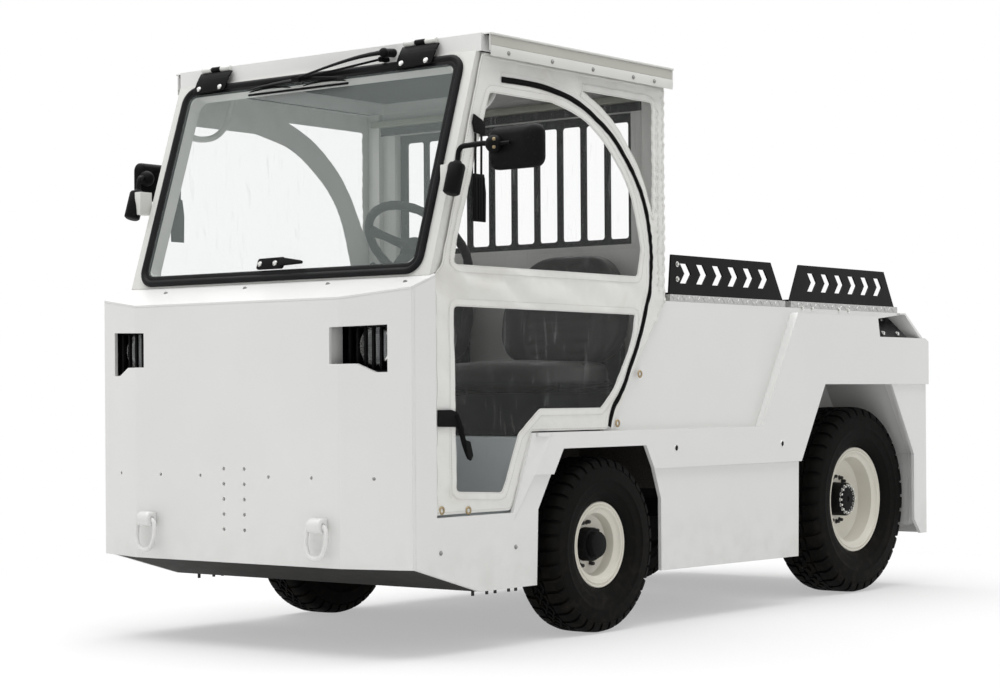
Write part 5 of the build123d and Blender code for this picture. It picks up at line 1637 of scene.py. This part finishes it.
class TUG_OT_tyres(bpy.types.Operator):
    """Build the tyres: a turned carcass and the tread's lugs round it"""
    bl_idname = "tug.tyres"
    bl_label = "Tyres"

    def execute(self, context):
        scene = context.scene
        sizes = scene.tug_sizes
        deep = sizes.lug_depth / MM
        for name, side, (x, d, z), radius, width, flange, rim in WHEELS:
            half, high, bead = width / 2, radius - flange, rim / 2 - 5.3
            right = (
                (0, radius - deep), (half - 56, radius - deep), (half - 34, radius - deep - 1),
                (half - 21, radius - deep - 4), (half - 14, radius - deep - 10), (half - 5, radius - 0.22 * high),
                (half - 2.4, radius - 0.27 * high),
                (half - 1.5, radius - 0.42 * high), (half, radius - 0.48 * high),
                (half + 0.6, radius - 0.5 * high),
                (half + 0.4, radius - 0.53 * high), (half - 1.6, radius - 0.545 * high),
                (half - 2.4, radius - 0.62 * high), (half - 5.5, radius - 0.74 * high),
                (half - 6, radius - 0.755 * high),
                (half - 8, radius - 0.765 * high), (half - 11, flange + 0.14 * high), (bead + 8, flange + 3),
                (bead + 1, flange + 1), (bead, flange - 10),
            )
            section = right + tuple((-a, r) for a, r in reversed(right[1:]))
            form = Form().lathe(section, at(side * x, d, z), LEFT, 76)
            put(form, "tyre_carcass_" + name, "tyre_rubber", "wheel_" + name, replaces=("tyre_" + name,),
                smooth=50)
            block = loose("pitch", tread_pitch(radius, width, flange, sizes.lugs, deep))
            values = {"Piece": block, "Count": sizes.lugs, "Centre": tuple(at(side * x, d, z))}
            base = loose("seed", Form().box((0, 1), (0, 1), (0, 1)))
            run_tree(tree("ring"), base, "tyre_tread_" + name, "tyre_rubber", values, "wheel_" + name)
            bpy.data.objects.remove(block)
        return {"FINISHED"}


class TUG_OT_rims(bpy.types.Operator):
    """Build the rims, hubs and wheel nuts"""
    bl_idname = "tug.rims"
    bl_label = "Rims and hubs"

    def execute(self, context):
        for name, side, (x, d, z), radius, width, flange, rim in WHEELS:
            centre = at(side * x, d, z)
            out = LEFT * side
            half, seat = rim / 2, flange - 14
            front = flange < 150
            dish = -12 if front else -24
            hole = 52 if front else 62
            drop = seat - 22
            section = (
                (half - 8, flange - 12), (half - 7, flange - 2), (half - 4, flange), (half - 1, flange - 1.5),
                (half, flange - 4), (half - 1, flange - 7), (half - 4.5, flange - 8.5), (half - 4.5, flange - 11),
                (half - 1.5, flange - 12.5), (half - 1, flange - 16), (half - 3, flange - 19),
                (half - 8, flange - 21), (half - 12, flange - 26), (half - 18, drop), (dish + 22, drop - 5),
                (dish + 12, drop - 16), (dish + 8, drop - 30), (dish + 8, hole), (dish, hole), (dish, drop - 30),
                (dish + 2, drop - 10), (-half + 20, drop - 2), (-half + 7, flange - 18), (-half, flange - 6),
                (-half, flange), (-half + 5, flange), (-half + 6, flange - 12), (0, flange - 16),
            )
            form = Form().lathe(section, centre, out, 72)
            put(form, "rim_dish_" + name, "rim_cream", "wheel_" + name, replaces=("rim_" + name,), smooth=32)
            hub = Form()
            if front:
                cap = ((-34, 0), (-34, 52), (28, 52), (33, 49), (34, 41), (50, 40), (54, 37), (56, 30), (57, 0))
            else:
                cap = ((-44, 0), (-44, 61), (30, 61), (34, 58), (34, 41), (37, 39), (38.5, 34), (38.5, 11),
                       (35, 9), (35, 0))
            hub.lathe(cap, centre, out, 44, shut=False)
            put(hub, "hub_" + name, "black_plastic", "wheel_" + name, smooth=35)
            studs = []
            if not front:
                rows = [(centre + (LEFT * side * 34 + self.spoke(k, 16) * 50) * MM, out) for k in range(16)]
                bolts("hub_nuts_" + name, rows, body="wheel_" + name, head=5.0, top=4.2, high=6.0, washer=6.5)
            ring = 69 if front else 84
            base = dish + 8.3
            for k in range(5 if front else 8):
                for turn in (-0.09, 0.09):
                    spoke = self.spoke(k + 0.3 + turn * 2, 5 if front else 8)
                    studs.append((centre + (LEFT * side * base + spoke * ring) * MM, out))
            bolts("rim_nuts_" + name, studs, "cast_iron", "wheel_" + name, head=6.5, top=5.5, high=13.0,
                  washer=9.0)
        return {"FINISHED"}

    def spoke(self, number, count):
        a = 2 * pi * number / count
        return Vector((0, cos(a), sin(a)))


# Screws and bolts that show, as (x, d, z)
COWL_BOLTS = ((-396, 110), (-72, 122), (257, 125), (560, 112))
SIDE_SCREWS = ((185, 292), (526, 290))
BAND_HOLES = ((1353, 559), (2007, 559))
LID_EDGE = (2030, 2064)
DECK_EDGE = (2201, 2270, 2461, 2527)
ROOF_RIVETS = (480, 690, 896, 1110, 1226)
CHIN_DROP = (402, 467, 506, 570, 604)


class TUG_OT_fasteners(bpy.types.Operator):
    """Set the screws and bolts of the body"""
    bl_idname = "tug.fasteners"
    bl_label = "Screws and bolts"

    def execute(self, context):
        slope = 24.0 / 66.0
        cowl = Vector((0, -slope, 1)).normalized()
        rows = [(at(x, d, 1007 + slope * d + 0.3), cowl) for x, d in COWL_BOLTS]
        for side in (-1, 1):
            rows += [(at(side * 622.2, d, z), LEFT * side) for d, z in SIDE_SCREWS]
            rows += [(at(side * 643.1, d, 1716), LEFT * side) for d in ROOF_RIVETS]
        bolts("body_screws", rows, "dull_steel", sides=12, head=5.5, top=3.5, high=3.2, washer=7.0, seat=1.0)
        rims = Form()
        dark = Form()
        for side in (-1, 1):
            for d, z in BAND_HOLES:
                centre = at(side * 633.1, d, z)
                rims.lathe(((0, 8.5), (1.4, 9), (1.4, 11.5), (0, 12)), centre, LEFT * side, 24)
                # A black disc across each hole's opening: painted shade of the hole's unlit inside.
                dark.lathe(((0.2, 0), (0.2, 8.6), (0.5, 8.6), (0.5, 0)), centre, LEFT * side, 20, shut=False)
        put(rims, "band_hole_rims", "bright_steel", smooth=60)
        put(dark, "band_hole_plugs", "black_plastic")
        lid_rows, deck_rows = [], []
        for side in (-1, 1):
            lid_rows += [(at(side * 586.4, 1425, zz), LEFT * side) for zz in (1103, 1151)]
            deck_rows += [(at(side * 600.4, d, DECK - 22), LEFT * side) for d in DECK_EDGE]
            deck_rows += [(at(side * x, d, z), Vector((side * 0.8, 0, 0.6))) for x, d, z in
                          ((622, 2750, 952), (622, 2860, 952), (558, 2760, 1006), (558, 2850, 1006))]
        lid_rows = [(p + Vector((6.2 * MM if p.x > 0 else -6.2 * MM, 0, 0)), n) for p, n in lid_rows]
        bolts("lid_rail_bolts", lid_rows, body="lid")
        bolts("deck_bolts", deck_rows)
        under = [(at(side * 560, d, 171.5), -UP) for side in (-1, 1) for d in CHIN_DROP]
        bolts("chin_studs", under, "cast_iron", head=5.0, top=5.0, high=16.0, washer=10.0)
        return {"FINISHED"}


FLOOR_LIFT = 0.42


class TUG_OT_stage(bpy.types.Operator):
    """Build the floor, the light and the white surroundings"""
    bl_idname = "tug.stage"
    bl_label = "Stage and light"

    def execute(self, context):
        scene = context.scene
        stage = scene.tug_stage
        size = 40.0
        form = Form()
        form.bm.faces.new([form.bm.verts.new((x, y, -0.0005)) for x, y in
                           ((-size, -size), (size, -size), (size, size), (-size, size))])
        floor_piece = loose("floor", form)
        floor_piece.data.materials.append(self.floor_finish(stage))
        data = bpy.data.lights.new("overhead", "AREA")
        data.shape = "RECTANGLE"
        data.size, data.size_y = 7.0, 8.0
        data.energy = stage.key
        lamp = bpy.data.objects.new("overhead", data)
        lamp.matrix_world = Matrix.Translation((-0.5, -0.9, 5.2)) @ Matrix.Rotation(radians(-8), 4, "X")
        scene.collection.objects.link(lamp)
        self.surroundings(scene, stage)
        return {"FINISHED"}

    def white_for(self, graph):
        """1 for camera, glossy and transmission rays."""
        path = graph.node("ShaderNodeLightPath")
        return (path.out("Is Camera Ray") + path.out("Is Glossy Ray") + path.out("Is Transmission Ray")).clamp()

    def surroundings(self, scene, stage):
        world = bpy.data.worlds.new("studio")
        world.use_nodes = True
        scene.world = world
        graph = Graph(world.node_tree)
        strength = self.white_for(graph) * (1 - stage.fill) + stage.fill
        light = graph.node("ShaderNodeBackground", (), {"Color": (1.0, 1.0, 1.0, 1.0), "Strength": strength})
        graph.node("ShaderNodeOutputWorld", (), {"Surface": light})

    def floor_finish(self, stage):
        f = Finish("studio_floor")
        far = (f.x * f.x * 0.55 + f.y * f.y * 0.42).step(2.2, 4.6)
        show = ((far * (1 - FLOOR_LIFT) + FLOOR_LIFT) * self.white_for(f)).clamp()
        matt = f.node("ShaderNodeBsdfDiffuse", (), {"Color": tone(stage.floor), "Roughness": 0.0})
        glow = f.node("ShaderNodeEmission", (), {"Color": (1.0, 1.0, 1.0, 1.0), "Strength": 1.0})
        f.node("ShaderNodeOutputMaterial", (), {
            "Surface": f.node("ShaderNodeMixShader", (), {0: show, 1: matt, 2: glow})})
        return f.material


class TUG_PT_panel(bpy.types.Panel):
    """The steps in the sidebar"""
    bl_idname = "TUG_PT_panel"
    bl_label = "Baggage tug"
    bl_space_type = "VIEW_3D"
    bl_region_type = "UI"
    bl_category = "Tug"

    def draw(self, context):
        for step in STEPS:
            self.layout.operator(step.bl_idname)
        for group in (context.scene.tug_finishes, context.scene.tug_sizes, context.scene.tug_stage):
            for name in group.__annotations__:
                self.layout.prop(group, name)


STEPS = (
    TUG_OT_camera, TUG_OT_finishes, TUG_OT_sides, TUG_OT_rings, TUG_OT_headlamps, TUG_OT_windscreen,
    TUG_OT_wiper, TUG_OT_steering,
    TUG_OT_seats, TUG_OT_curtains, TUG_OT_straps, TUG_OT_cab_inside, TUG_OT_mirrors, TUG_OT_deck, TUG_OT_rear,
    TUG_OT_tyres, TUG_OT_rims, TUG_OT_fasteners, TUG_OT_stage,
)
GROUPS = (("tug_finishes", TugFinishes), ("tug_sizes", TugSizes), ("tug_stage", TugStage))


def register():
    for name, group in GROUPS:
        bpy.utils.register_class(group)
        setattr(bpy.types.Scene, name, PointerProperty(type=group))
    for step in STEPS:
        bpy.utils.register_class(step)
    bpy.utils.register_class(TUG_PT_panel)


def unregister():
    bpy.utils.unregister_class(TUG_PT_panel)
    for step in reversed(STEPS):
        bpy.utils.unregister_class(step)
    for name, group in reversed(GROUPS):
        delattr(bpy.types.Scene, name)
        bpy.utils.unregister_class(group)


def main():
    register()
    bpy.context.scene.view_settings.view_transform = "Standard"
    for step in STEPS:
        group, name = step.bl_idname.split(".")
        getattr(getattr(bpy.ops, group), name)()


if __name__ == "__main__":
    main()
